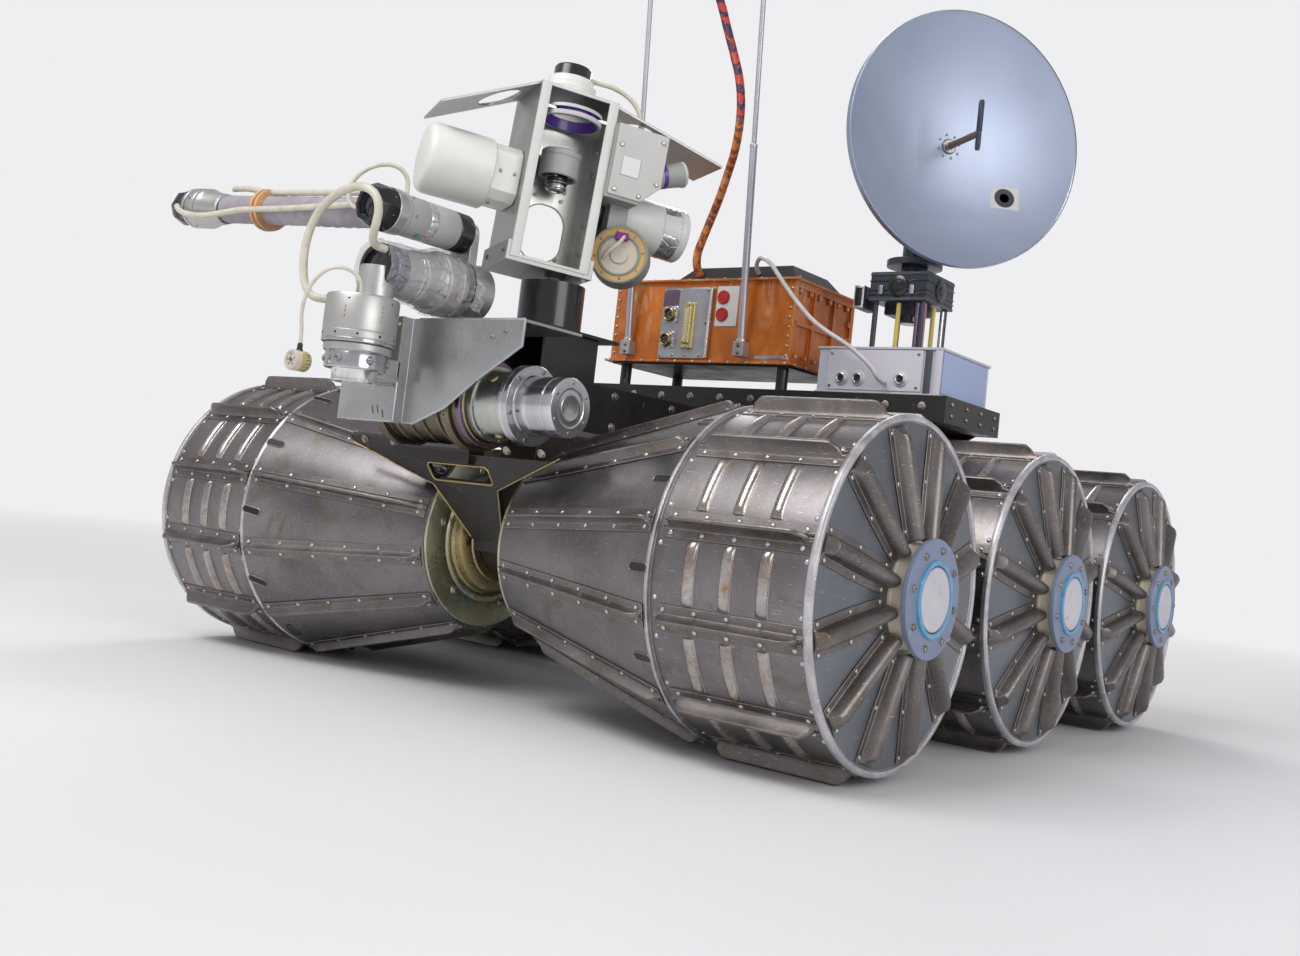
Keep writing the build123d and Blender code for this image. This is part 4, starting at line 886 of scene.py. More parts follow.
# CAD nodes that keep their shape
dressed = {
    "axle": ("axle_housings",), "black": ("backbone", "deck", "deck_frame"), "brown": ("front_bracket",),
    "orange": ("electronics_box",), "lid": ("box_lid",), "case": ("control_box",), "rod_grey": ("mast_rods",),
    "drive": ("dish_stand", "dish_turntable"), "motor": ("head_stand",),
    "yoke": ("head_yoke", "forearm_tube"),
    "frame_white": ("head_frame",), "case_plate": ("side_camera",), "shade": ("head_shades",),
    "bronze": ("shoulder_housing",), "zinc_sheet": ("shoulder_bracket",), "arm": ("elbow_link",),
}
for look, names in dressed.items():
    for name in names:
        for held in nodes[name].material_slots:
            held.material = looks[look]

facing_x = Matrix(((0, 0, 1, 0), (1, 0, 0, 0), (0, 1, 0, 0), (0, 0, 0, 1)))
facing_y = Matrix(((0, -1, 0, 0), (0, 0, 1, 0), (1, 0, 0, 0), (0, 0, 0, 1)))

# Shoulder motor, its flanges and polished cap
axis = at(shoulder.x, 0, shoulder.z) @ turn_to_y
shape = Shape()
# The black band between the flanges is painted shade in a groove
shape.bands(
    axis, 96, ("bronze", (0.3, 30.5), (49.2, 30.5), (50, 31.2), (50, 34.6), (49.2, 35.2), (48.4, 35.2)),
    ("brass", (48.4, 35.2), (48.4, 36.6)),
    ("violet_ring", (48.4, 36.6), (49.4, 36.8), (50, 37.4), (50, 43.6), (49.2, 44.5), (45.6, 44.5)),
    ("brass", (45.6, 44.5), (45.0, 45.6), (44.0, 45.8), (43.4, 44.6)),
    ("hole", (43.4, 44.6), (42.0, 44.6)),
    ("housing", (42, 44.6), (42, 53.6), (41.2, 54.5), (38.4, 54.5)),
    ("housing", (38.4, 54.5), (37, 56.5), (37, 94.5)),
    ("turned", (37, 94.5), (43.2, 94.5), (44, 95.4), (44, 99.6), (43.5, 100.1), (43.5, 101.1), (44, 101.6),
     (44, 106.6), (43.2, 107.5), (33.4, 107.5)),
    ("turned", (33.4, 107.5), (32, 109.0), (32, 143.5), (31.3, 144.2), (31.3, 145.4), (32, 146.1),
     (32, 158.4),
     (31, 159.5), (21.4, 159.5), (20.9, 158.9), (20.2, 158.7), (14.4, 158.7), (13.6, 159.2), (12.8, 158.9),
     (0.3, 158.8)),
)
shape.screws(ring_of(6, 38.4, 107.5, 0.3, axis), 2.5, 1.6)
shape.screws(ring_of(6, 26.6, 159.5, 0.55, axis), 1.7, 0.9)
shape.studs(round_side(3, 37, 70, -0.75, axis), "brass", 24, (5.2, -0.4), (5.2, 1.4), (4.6, 2.2), (3.0, 2.4))
shape.screws(ring_of(8, 40.2, 54.5, 0.2, axis), 1.8, 1.0, "zinc")
piece("shoulder_motor_skin", shape, "arm_shoulder", ("shoulder_motor",))

# Bronze ribs and screws of the fixed shoulder housing
shape = Shape()
for y in (-88, -84, 22, 26):
    shape.bands(axis, 96, ("bronze", (53.8, y - 1.2), (54.7, y - 0.5), (54.7, y + 0.5), (53.8, y + 1.2)))
for y in (-66, -44, -22, 4):
    shape.bands(axis, 72, ("bronze", (45.8, y - 3), (48.2, y - 2), (48.2, y + 2), (45.8, y + 3)))
shape.screws(round_side(6, 54.2, 24, 0.4, axis), 2.6, 1.5)
piece("shoulder_ribs", shape, "chassis")

# Bracket: folded bright edges, bolts on the shelf and small marks
front_x = shoulder.x + 58
high_z = shoulder.z + 84
low_z = shoulder.z - 32
shape = Shape()
edge_line = [(-15, low_z), (33, high_z - 96), (76, high_z - 65), (136, high_z - 28), (136, high_z)]
shape.tube([(front_x + 1.5, y, z) for y, z in edge_line], 1.7, "panel", sides=8)
shape.tube([(front_x + 16.2, -30.6, z) for z in (low_z, high_z)], 2.0, "panel", sides=8)
shape.tube([(front_x + 1.5, y, high_z - 0.6) for y in (-22, 136)], 1.8, "panel", sides=8)
shape.hexagons(places([(front_x + x, y, high_z) for y in (8, 44, 116) for x in (-76, -12)], z_way), 3.6, 3.0,
               "zinc")
shape.screws(places([(front_x + 3, 112, high_z - 14), (front_x + 3, 94, high_z - 20)], x_way), 2.4, 1.4)
for y, z in ((-66, low_z + 12), (-58, low_z + 13), (-49, low_z + 8)):
    shape.slab((-1.0, 1.0), (-4.5, 4.5), (0, 0.12), "feed_brown", on((front_x + 15, y, z), x_way, 0.35), 0.04)
piece("bracket_trim", shape, "arm_shoulder")

# Turret mount: plate with cut corners and big screws, arm and stepped seat
root_x = front_x + 15
ring_z = turret_base.z - 8.5
shape = Shape()
left_y, right_y = -28.0, -79.0
foot_z = low_z + 39
shape.prism([(right_y + 9, foot_z), (left_y - 9, foot_z), (left_y, foot_z + 9), (left_y, high_z),
             (right_y, high_z), (right_y, foot_z + 9)], root_x, root_x + 5, "plate", facing_x, 0.8)
plate_corners = [(root_x + 5, y, z) for y in (left_y - 8, right_y + 8) for z in (foot_z + 9, high_z - 9)]
plate_screws = places(plate_corners, x_way)
shape.studs(plate_screws, "yoke", 20, (5.0, 0), (5.0, 0.9), (4.6, 1.2))
shape.studs(plate_screws, "bolt", 20, (4.0, 1.0), (4.0, 2.6), (3.2, 3.4), (0.3, 3.7))
shape.slab((root_x, turret_base.x), (-52, -28), (ring_z - 24, ring_z), "arm", chamfer=1.5)
seat = at(turret_base.x, turret_base.y, 0)
shape.bands(
    seat @ at(0, 0, ring_z), 72, ("turret", (0.3, 8), (35.2, 8), (36, 7.2), (36, 1), (35, 0)),
    ("turret_ring", (35, 0), (32.4, 0), (33, -0.8), (33, -17.4), (32, -18.4), (24.6, -18.8)),
    ("cap", (24.6, -18.8), (24, -20.0), (24, -31), (23, -32), (0.3, -32)),
)
seat_screws = round_side(6, 33, ring_z - 9, 0.28, seat)
shape.studs(seat_screws, "yoke", 20, (4.2, -0.3), (4.2, 0.5), (3.9, 0.7))
shape.screws([place @ at(0, 0, 0.4) for place in seat_screws], 3.3, 1.8)
piece("turret_mount_skin", shape, "arm_shoulder", ("turret_mount",))

# Turret drum with its neck
shape = Shape()
drum_place = seat @ at(0, 0, turret_base.z)
shape.bands(
    drum_place, 96, ("turret_ring", (0.3, 0), (38, 0), (39, 0.9), (39, 3.6), (38.2, 4.4)),
    ("turret", (38.2, 4.4), (39, 5.2), (39, 12), (38.4, 12.6), (38.4, 13.2), (39, 13.8), (39, 49),
     (37.6, 51.4),
     (35, 52), (22.5, 52)),
)
shape.bands(drum_place @ at(-14, 0, 0), 56,
            ("turret", (22.5, 52), (20.6, 53.6), (20, 56), (20, 76), (18.5, 88)))
# Black studs of painted shade stand for holes in the drum
shape.studs(round_side(10, 38.8, 8.6, 0.2, drum_place), "hole", 12, (1.5, -0.2), (1.4, 0.5), (0.2, 0.7))
shape.studs(round_side(5, 38.9, 45, 0.5, drum_place), "hole", 10, (1.1, -0.2), (1.1, 0.35), (0.2, 0.4))
for height, wide in ((26, 1.7), (31.5, 1.7), (36, 1.2)):
    shape.slab((-0.5, 0.5), (-wide, wide), (0, 0.1), "red", drum_place @ side_place(39.02, height, 0.42),
               0.03)
# Black dashes in the same painted-shade black
for height in (24, 29, 34, 39):
    shape.slab((-0.9, 0.9), (-0.35, 0.35), (0, 0.1), "hole", drum_place @ side_place(39.02, height, 1.45),
               0.03)
piece("turret_skin", shape, "arm_turret", ("turret",))

# Elbow drive: black rear, pale body, cone, steel ring and black nose
axis = at(0, arm_y, elbow_z) @ turned_x
shape = Shape()
shape.bands(
    axis, 80, ("motor", (0.3, 510), (34, 510), (36, 511.4), (36, 521), (35.4, 522)),
    ("arm", (35.4, 522), (36, 523), (36, 529.4), (35.4, 530), (35.4, 530.8), (36, 531.4), (36, 549),
     (34.8, 550.4),
     (31.8, 550.6)),
    ("arm", (31.8, 550.6), (31.2, 551.8), (30.6, 556), (29.9, 572), (29.6, 577), (28.2, 578), (28.2, 580)),
    ("turret_ring", (28.2, 580), (29.2, 580.4), (29.2, 583), (28.2, 583.6)),
    ("arm", (28.2, 583.6), (27.6, 590), (27.0, 600), (26.6, 603)),
    ("motor", (26.6, 603), (27.2, 604), (27.2, 613.4), (26.4, 614)),
    ("blue_steel", (26.4, 614), (27.4, 614.5), (27.4, 618.6), (26.4, 619.2)),
    ("motor", (26.4, 619.2), (27, 620), (27, 628), (25, 631), (22, 632), (19.4, 631.4), (18.2, 627)),
    ("dial", (18.2, 627), (9, 628.4), (0.3, 629)),
)
shape.studs(round_side(8, 36, 526, 0.3, axis), "bolt", 16, (3.0, -0.3), (3.0, 1.4), (2.4, 2.0), (0.3, 2.2))
shape.studs(round_side(6, 30.2, 561, 0.1, axis), "bolt", 16, (2.3, -0.6), (2.3, 1.1), (1.8, 1.5), (0.3, 1.5))
shape.screws(ring_of(8, 33.5, 550.4, 0.25, axis), 1.8, 1.0)
shape.slab((-6, 6), (-1.0, 1.0), (0, 0.12), "red", axis @ side_place(36.05, 538, 1.15), 0.04)
piece("elbow_drive_skin", shape, "arm_turret", ("elbow_drive",))

# Crumpled film round the elbow drive, and its loose flap
rng = random.Random(5)
shape = Shape()
rows = []
for step in range(26):
    along = 516 + 118 * step / 25
    base = 37.4
    if along >= 562:
        base = 31.4 - (along - 562) / 70 * 2.6
    elif along >= 550:
        base = 37.4 - (along - 550) / 20 * 6
    reaches = [min(base + rng.uniform(-0.2, 2.4), 39.6) for _ in range(36)]
    rows.append([(out * cos(angle), out * sin(angle), along) for angle, out in zip(circle(36), reaches)])
shape.rows(rows, "clear", axis, around=True, ends=False)
piece("elbow_film", shape, "arm_turret", smooth=25)
shape = Shape()
rows = []
for step in range(9):
    out = step / 8
    rows.append([(516 - 13 * out + rng.uniform(-1, 1), -10 + 9 * out + 3 * sin(k * 1.3 + out * 3),
                  elbow_z - 22 + 36 * k / 10 - 8 * out + rng.uniform(-1, 1)) for k in range(11)])
shape.rows(rows, "clear", ends=False)
piece("elbow_film_flap", shape, "arm_turret", smooth=80)

# Forearm drive with its eight-sided lens cap, the cap's bare scale and a mark
axis = at(0, arm_y, forearm_z) @ turned_x
shape = Shape()
shape.bands(
    axis, 64, ("motor", (0.3, 509.5), (21.6, 509.5), (23, 511), (23, 531), (22.4, 531.8)),
    ("camera_grey", (22.4, 531.8), (23, 532.6), (23, 566), (22.4, 566.8)),
    ("foil", (22.4, 566.8), (23, 567.4), (23, 577), (22.4, 577.8)),
    ("camera_grey", (22.4, 577.8), (23, 578.6), (23, 606), (24.2, 607.4), (24.6, 611), (23.6, 612.4)),
    ("arm", (23.6, 612.4), (25, 613), (25, 624.6), (24.2, 625.5)),
)
shape.bands(
    axis, 8, ("motor", (24.4, 625.5), (25.4, 626.4), (25.4, 641), (20.6, 650.4), (19.4, 651.5), (15.4, 651.2),
              (14.2, 646.0)),
    ("dial", (14.2, 646.0), (7, 647.6), (0.3, 648.2)),
)
for number, angle in enumerate(circle(24, pi / 24)):
    flat = 25.4 * cos(pi / 8) / cos((angle + pi / 8) % (pi / 4) - pi / 8)
    half = 1.4 + (number % 3 == 0)
    shape.slab((-0.22, 0.22), (-half, half), (0, 0.12), "white_plate", axis @ side_place(flat, 633.4, angle),
               0.03)
shape.slab((-3.4, 3.4), (-2.6, 2.6), (0, 0.2), "cyan", axis @ side_place(23.05, 588, 0.5), 0.05)
shape.screws(round_side(6, 23, 601, 0.4, axis), 1.7, 0.9)
piece("forearm_drive_skin", shape, "arm_elbow", ("forearm_drive",))

# Forearm: creased sleeve
along_arm = forearm_place @ turn_x
shape = Shape()
rows = []
for step in range(90):
    distance = 26 + 292 * step / 89
    fold = 0.75 * sin(distance * 0.31) + 0.5 * sin(distance * 0.83 + 1.0)
    row = []
    for angle in circle(40):
        out = 17.0 + fold * (0.5 + 0.5 * sin(2 * angle + distance * 0.05))
        row.append(((out + rng.uniform(0, 0.22)) * cos(angle), (out + rng.uniform(0, 0.22)) * sin(angle),
                    distance))
    rows.append(row)
shape.rows(rows, "sleeve", along_arm, around=True)
shape.bands(along_arm, 48, ("foil", (16.4, 23), (18.6, 23.4), (18.9, 29), (18.4, 34), (16.4, 34.4)))
piece("forearm_sleeve", shape, "arm_elbow", smooth=70)

# Two leads tied along the sleeve, each through points of (distance, rise, aside), and the tape round them
shape = Shape()
upper = [(30, 24, 4), (52, 21.5, 7), (90, 20.6, 8), (150, 20.4, 7), (205, 20.5, 5), (245, 21.2, 3),
         (272, 25, 0),
         (300, 27.5, -3), (322, 26.5, -4)]
lower = [(34, 6, 24), (60, 3, 22.8), (110, 1, 21.6), (170, -2, 21.2), (226, -4, 21.6), (262, -5, 23.0),
         (286, -12, 31), (318, -18, 37), (352, -16, 38), (378, -10, 33), (390, -4, 28)]
for route in (upper, lower):
    route_points = [(aside, rise, distance) for distance, rise, aside in route]
    holder = bpy.data.objects.new("tied_route", line_through("tied_route", route_points, 6))
    line = [along_arm @ vertex.co for vertex in bpy.data.meshes.new_from_object(holder).vertices]
    bpy.data.objects.remove(holder)
    shape.tube(line, 3.6, "cream_cable", sides=14)
for distance, reach in ((232, 24.5), (240, 24.9)):
    shape.bands(along_arm @ at(0, 0, distance), 40,
                ("tape_orange", (17.2, -3), (reach, -2.4), (reach + 0.6, 0),
                                                     (reach, 2.4), (17.2, 3)))
piece("forearm_wires", shape, "arm_elbow", smooth=60)

# Wrist collar and its black end cap
shape = Shape()
shape.bands(
    along_arm, 72, ("arm", (0.3, 323), (17.6, 323), (18.6, 323.8), (22.0, 350), (24.4, 356), (25, 357.4)),
    ("arm", (25, 357.4), (25, 361.6), (24.5, 362.2), (24.5, 363), (25, 363.6), (25, 380), (24.4, 381)),
    ("violet_ring", (24.4, 381), (24.4, 383)),
    ("arm", (24.4, 383), (25, 383.6), (25, 387.8), (24, 389), (0.3, 389)),
)
# The black studs are painted shade standing for holes in the collar
shape.studs(round_side(8, 25, 372, 0.3, along_arm), "hole", 12, (1.4, -0.2), (1.4, 0.3), (0.2, 0.4))
piece("wrist_collar_skin", shape, "arm_elbow", ("wrist_collar",))
shape = Shape()
shape.bands(along_arm, 8, ("motor", (0.3, 389.5), (21.6, 389.5), (22.4, 390.4), (22.4, 399), (21.8, 400),
                           (21.8, 402),
                           (22.4, 403), (22.4, 412), (16.0, 424.4), (14.6, 425.5), (0.3, 425.5)))
for place in round_side(16, 22.0, 396, pi / 16, along_arm):
    shape.slab((-0.5, 0.5), (-4, 4), (-0.9, 0.7), "motor", place, 0.2)
piece("wrist_cap_skin", shape, "arm_wrist", ("wrist_cap",))

# Front camera: chamfered block and round-ended barrel
axis = head_place @ at(0, 0, frame_bottom + 97.5) @ turned_x
shape = Shape()
octagon = [(23, -33), (33, -23), (33, 23), (23, 33), (-23, 33), (-33, 23), (-33, -23), (-23, -33)]
shape.prism(octagon, 74, 108, "white", axis, 1.4)
shape.bands(axis, 96, ("white", (0.3, 107), (40.6, 107), (42, 108.6), (42, 176), (40.6, 181), (37.2, 184.6),
                       (32, 186), (0.3, 186)))
shape.screws([axis @ on((0, 33, 99), y_way), axis @ on((0, 33, 82), y_way), axis @ on((33, 0, 99), x_way)],
             2.2, 1.0)
piece("front_camera_skin", shape, "camera_head", ("front_camera",))

# Rear camera with a grey root, foil over its end and a bare patch
axis = head_place @ at(0, -30, frame_bottom + 96) @ Matrix.Rotation(-pi / 2, 4, "Y")
shape = Shape()
shape.bands(
    axis, 80, ("yoke", (0.3, 24), (33.4, 24), (34, 25), (34, 58), (33.4, 59)),
    ("white", (33.4, 59), (34, 60), (34, 128), (33.6, 129)),
    ("foil", (33.6, 129), (34, 130), (33.2, 134), (34, 138), (33.4, 143), (34, 148), (33.6, 152)),
    ("white", (33.6, 152), (34, 153), (34, 161), (32, 163.6), (28, 164), (26.6, 163.2), (25.8, 160)),
    ("dial", (25.8, 160), (12, 161.6), (0.3, 162)),
)
patch_angles = [radians(62 + 4 * step) for step in range(12)]
patch = [[(34.6 * cos(angle), 34.6 * sin(angle), along) for angle in patch_angles]
         for along in (127.5, 150.5)]
shape.rows(patch, "white_plate", axis, ends=False)
piece("rear_camera_skin", shape, "camera_head", ("rear_camera",))

# Side camera: cover plate with a bare label, the tube's pale mouth with a black disc of painted shade inside,
# and its violet band
low_z, high_z = frame_bottom + 97.5, frame_bottom + 187.5
shape = Shape()
cover = [(-27, low_z + 4), (-27, high_z + 1), (-93, high_z + 1), (-93, low_z + 27), (-70, low_z + 4)]
shape.prism([(z, -x) for x, z in cover], 54, 56, "cover", head_place @ facing_y, 0.5)
cover_screws = places([(-34, 56, low_z + 11), (-34, 56, high_z - 24), (-86, 56, high_z - 8),
                       (-86, 56, low_z + 30),
                       (-66, 56, low_z + 10)], y_way, head_place)
shape.studs(cover_screws, "plate", 16, (3.0, 0), (3.0, 0.5), (2.8, 0.7))
shape.screws([place @ at(0, 0, 0.5) for place in cover_screws], 2.3, 1.1, "zinc")
label_turn = Matrix(((0, 1, 0, 0), (0, 0, 1, 0), (1, 0, 0, low_z + 60), (0, 0, 0, 1)))
shape.slab((-30, -6), (-62, -38), (0, 0.4), "white_plate", head_place @ at(0, 56, 0) @ label_turn, 0.1)
tube_root = Vector((-92, 39.9, 651))
tube_lean = radians(70)
tube_way = Vector((-sin(tube_lean), 0, cos(tube_lean)))
shape.bands(head_place @ on(tube_root + tube_way * 32, tube_way), 48,
            ("cover", (13.0, -1.5), (15.8, -1.0), (15.8, 2.4), (14.6, 3.4), (12.4, 3.4), (11.4, 1.0)),
            ("hole", (11.4, 1.0), (9.0, 0.4), (0.3, 0.2)))
shape.bands(head_place @ on(tube_root + tube_way * 6, tube_way), 48,
            ("violet", (15.1, -2.8), (15.5, -2.5), (15.5, 2.5), (15.1, 2.8)))
piece("side_camera_cover", shape, "camera_head")

# Round drum: grey rim, orange ring, cream face and magenta part
drum = head_place @ at(-68, 27, frame_bottom + 36.5) @ Matrix.Rotation(radians(-28), 4, "Z") @ turn_to_y
shape = Shape()
shape.bands(
    drum, 80, ("plate", (0.3, -17), (34.6, -17), (36, -15.6), (36, -5), (35.2, -4.2), (35.2, -2.6),
               (36, -1.8),
               (36, 14.8), (34.8, 17), (32.6, 17)),
    ("amber", (32.6, 17), (31.6, 15.6), (26.4, 14.8)),
    ("plate", (26.4, 14.8), (25.4, 16), (23.4, 16), (22.6, 13.4)),
    ("ceramic", (22.6, 13.4), (11.0, 12.6), (10.2, 14.6), (0.3, 14.6)),
)
shape.screws(ring_of(8, 29.2, 15.2, 0.2, drum), 1.5, 0.8)
shape.slab((-8, 8), (-27, -17), (12.5, 18.5), "magenta", drum, 1.5)
shape.tube([(-4, -24, 16), (2, -12, 20), (12, -2, 19), (18, 6, 15)], 2.4, "ceramic", drum)
piece("rear_drum_skin", shape, "camera_head", ("rear_drum",))

# Lenses in and on the head's frame, with the wire coil under the inner one
inner = head_place @ at(head_x, 16, frame_bottom + 112)
shape = Shape()
shape.bands(
    inner, 64, ("camera_grey", (0.3, 32), (22.6, 32), (24, 30.6), (24, 25), (23.2, 24.4), (23.2, 22.8),
                (24, 22.2),
                (24, 1), (23, 0), (20.6, 0), (20, 3)),
    ("dial", (20, 3), (12.2, 4), (12.2, 0)),
    ("motor", (12.2, 0), (12.2, -8), (11.6, -9)),
    ("turret_ring", (11.6, -9), (12, -10), (12, -15), (10.6, -16), (8.8, -16), (8.2, -14.2)),
    ("dial", (8.2, -14.2), (0.3, -13.4)),
)
coil_angles = [2 * pi * 2.2 * step / 60 for step in range(61)]
coil = [inner @ Vector((13.6 * cos(angle), 13.6 * sin(angle), -15 + 1.1 * angle)) for angle in coil_angles]
shape.tube(coil, 0.6, "steel", sides=6)
cap = head_place @ at(head_x, 0, frame_top)
shape.bands(
    cap, 80, ("white", (0.3, 0.05), (37, 0.05), (37.6, 0.8), (37.6, 3.6), (36.6, 4.4), (35.6, 4.6), (34.9, 9),
              (35.2, 10), (34.6, 11), (33.2, 11.6), (32.0, 16), (32.2, 17), (31.4, 18), (30.0, 18.4),
              (28.6, 23),
              (28.6, 25), (27.4, 26)),
    ("motor", (27.4, 26), (23.6, 26), (23.6, 29), (23, 29.8), (23, 39.4), (21.4, 41.6), (17, 42), (15.8, 41),
     (0.3, 40.2)),
)
shape.screws(ring_of(6, 33.8, 4.6, 0.4, cap), 1.7, 1.0)
piece("head_optics_skin", shape, "camera_head", ("head_optics",))

# Head frame: the ring's violet lining, its pale rims of painted highlight and its mark, flat front edges,
# screws and the window's rim
shape = Shape()
ring = head_place @ at(head_x, 30, frame_bottom + 182)
# The two pale cover bands at the ring's ends are painted highlight on its rims
shape.bands(ring, 72, ("violet", (32.7, -5), (32.2, -5.4), (31.6, -4.8), (31.6, 7.8), (32.2, 8.4), (32.7, 8)),
            ("cover", (33.0, -5.2), (36.0, -5.2), (36.2, -4), (36.2, -0.1)),
            ("cover", (33.0, 8.2), (35.6, 8.2), (36.0, 7.2), (36.0, 4.05)))
mark_side = Vector((cos(0.35), sin(0.35), 0))
shape.slab((-4.5, 4.5), (-2.6, 2.6), (0, 0.8), "red",
           ring @ at(0, 0, 1.5) @ on(mark_side * 31.6, -mark_side), 0.2)
edges = [((side * 43 - 6, side * 43 + 6), (frame_bottom, frame_top)) for side in (-1, 1)]
edges += [((-37, 37), (frame_bottom, frame_bottom + 4)), ((-37, 37), (frame_top - 4, frame_top))]
for x, z in edges:
    shape.slab(x, (48.6, 50.2), z, "frame_edge", head_place @ at(head_x, 0, 0), 0.4)
for side in (-1, 1):
    heights = [frame_bottom + height for height in (30, 64, 128, 158)]
    shape.hexagons(places([(head_x + side * 45, 12, z) for z in heights], (-side, 0, 0), head_place), 2.8,
                   2.6)
    shape.screws(places([(head_x + side * 54, y, frame_bottom + 8) for y in (-34, 34)], (side, 0, 0),
                        head_place),
                 3.0, 1.8)
corners = ((8, 92), (42, 92), (6, 104), (44, 104), (2, 20), (48, 20))
shape.screws(places([(x, -8, frame_bottom + z) for x, z in corners], y_way, head_place), 2.6, 1.5)
shape.screws(places([(x, 44, frame_bottom + 186) for x in (2, 48)], y_way, head_place), 1.6, 1.2)
shape.screws(places([(x, y, frame_top) for x in (2, 48) for y in (-38, 38)], z_way, head_place), 2.6, 1.4)
window = [(x + head_x, -7.6, z + frame_bottom + 48) for x, z in rounded((-27, 27), (-35, 35), 24, 8)]
shape.ring([head_place @ Vector(point) for point in window], 0.9, "cover")

# Shades: screws along their edges and the rims of their holes
for side, reach, drop in ((1, 110.0, 58.0), (-1, 150.0, 34.0)):
    points = [(head_x + side * (49 + reach * share), y, frame_top - drop * share)
              for share in (0.1, 0.62, 0.94) for y in (-36, 36)]
    shape.screws(places(points, (side * drop, 0, reach), head_place), 2.4, 1.2)
    rim = []
    for angle in circle(48):
        x = reach * 0.32 + 23 * cos(angle)
        rim.append(head_place @ Vector((head_x + side * (49 + x), 32 * sin(angle),
                                        frame_top - drop * x / reach + 0.2)))
    shape.ring(rim, 0.9, "panel")
piece("head_screws", shape, "camera_head")

# Rings and screws of the head's pan motor
shape = Shape()
pan = at(head_stand_x, 0, 0)
for z, radius in ((head_seat - 0.2, 39.0), (head_seat - 55.0, 40.2)):
    shape.bands(pan @ at(0, 0, z), 64, ("yoke", (radius - 3, -1.6), (radius, -1.4), (radius, 0),
                                        (radius - 1, 0.3),
                                        (radius - 6, 0.3)))
shape.screws(ring_of(4, 30.0, head_seat, pi / 4, pan), 2.4, 0.4)
piece("head_motor_rings", shape, "chassis")

# Electronics box: panel with its two round sockets and the long connector, and a black sheet of painted shade
# under the box
shape = Shape()
front = at(box_front, 0, 0)
shape.slabs(
    front, ((0, 4), (-64, 22), (455, 555), "panel", 0.6),
    ((3.4, 8), (18.6, 22.4), (455.4, 554.6), "bright_edge", 0.5),
    ((4, 4.8), (-62, -34), (528, 553), "violet_ring", 0.2),
    ((4, 9), (-24, -4), (468, 534), "socket_gold", 1.0),
    ((9, 12.5), (-20, -8), (475, 527), "socket_gold", 1.0),
    ((12.5, 13), (-17.6, -10.4), (478, 524), "ceramic", 0.2),
    ((0, 1.2), (27, 63), (501, 557), "white_plate", 0.2),
    ((0, 0.5), (-20, 24), (553.5, 556.5), "pale_green", 0.1),
    # The last block is a black sheet of painted shade under the box's floor, standing for the shadow beneath
    # it
    ((0, 0.8), (98, 150), (456, 461), "panel", 0.2), ((-162, -2), (-150, 150), (446.6, 449), "lid", 0.4),
)
for y, z in ((-47, 517), (-49, 481)):
    shape.slab((4, 6), (y - 12, y + 13), (z - 12, z + 12), "steel", front, 0.6)
    place = front @ on((6, y, z), x_way)
    shape.bands(place, 40, ("brass", (10.6, -0.5), (10.6, 1.6), (9.6, 2.4), (9.2, 5.4), (7.8, 6), (7.0, 5.2),
                            (6.8, 2.2)),
                ("dial", (6.8, 2.2), (0.3, 2.2)))
    shape.domes([place @ on((3.8 * cos(angle), 3.8 * sin(angle), 2.2), z_way) for angle in circle(5)], 0.8,
                1.2, "socket_gold")
    shape.screws(places([(6, y + dy, z + dz) for dy in (-9, 10) for dz in (-9, 9)], x_way, front), 1.4, 0.8,
                 "zinc")
pins = [(13, y, 480.5 + number * 3.7 + shift) for y, shift in ((-16, 0), (-12, 1.2)) for number in range(12)]
shape.domes(places(pins, x_way, front), 1.0, 0.9, "socket_gold")
shape.hexagons(places([(9, -14, z) for z in (471, 531)], x_way, front), 2.8, 2.6, "zinc")
panel_screws = ((-60, 459), (-38, 459), (-16, 459), (8, 459), (-60, 551), (14, 551), (14, 505))
shape.screws(places([(4, y, z) for y, z in panel_screws], x_way, front), 1.9, 1.1)
shape.studs(places([(1.2, 38.6, z) for z in (541.5, 517.5)], x_way, front), "red", 14, (9.8, 0), (9.8, 1.8),
            (9.2, 2.6), (7.4, 3.0), (7.0, 2.5), (0.3, 2.6))

# The box's own screws, rivets and bosses
line = range(-150, 151, 30)
shape.screws(places([(4.6, y, 452) for y in line] + [(3.8, y + 9, 567) for y in line], z_way, front), 1.8,
             1.2, "zinc")
shape.studs(places([(6, y, 450.4) for y in line], x_way, front), "zinc", 12, (2.1, -0.6), (2.1, 1.0),
            (1.5, 1.5),
            (0.3, 1.6))
rivets = [(0, y, 462 + number * 13) for number in range(8) for y in (-147, 147)]
shape.domes(places(rivets, x_way, front), 2.5, 1.6, "zinc")
for side in (-1, 1):
    way = (0, side, 0)
    shape.studs(places([(x, side * flange_side, 450.4) for x in (-74, -46, 0, 46, 74)], way), "zinc", 12,
                (2.1, -0.6), (2.1, 1.0), (0.3, 1.6))
    screwed = places([(x, side * box_side, z) for x in (-64, -38, -14, 14, 38, 64) for z in (463, 553)], way)
    plain = places([(x, side * box_side, z) for x in (-72, 72) for z in (485, 508, 531)], way)
    shape.studs(screwed + plain, "orange", 14, (4.6, 0), (4.6, 3.4), (3.8, 4.0), (0.3, 4.0))
    shape.domes([place @ at(0, 0, 4) for place in screwed], 1.8, 1.0, "zinc")
piece("box_fittings", shape, "chassis", ("front_panels",))

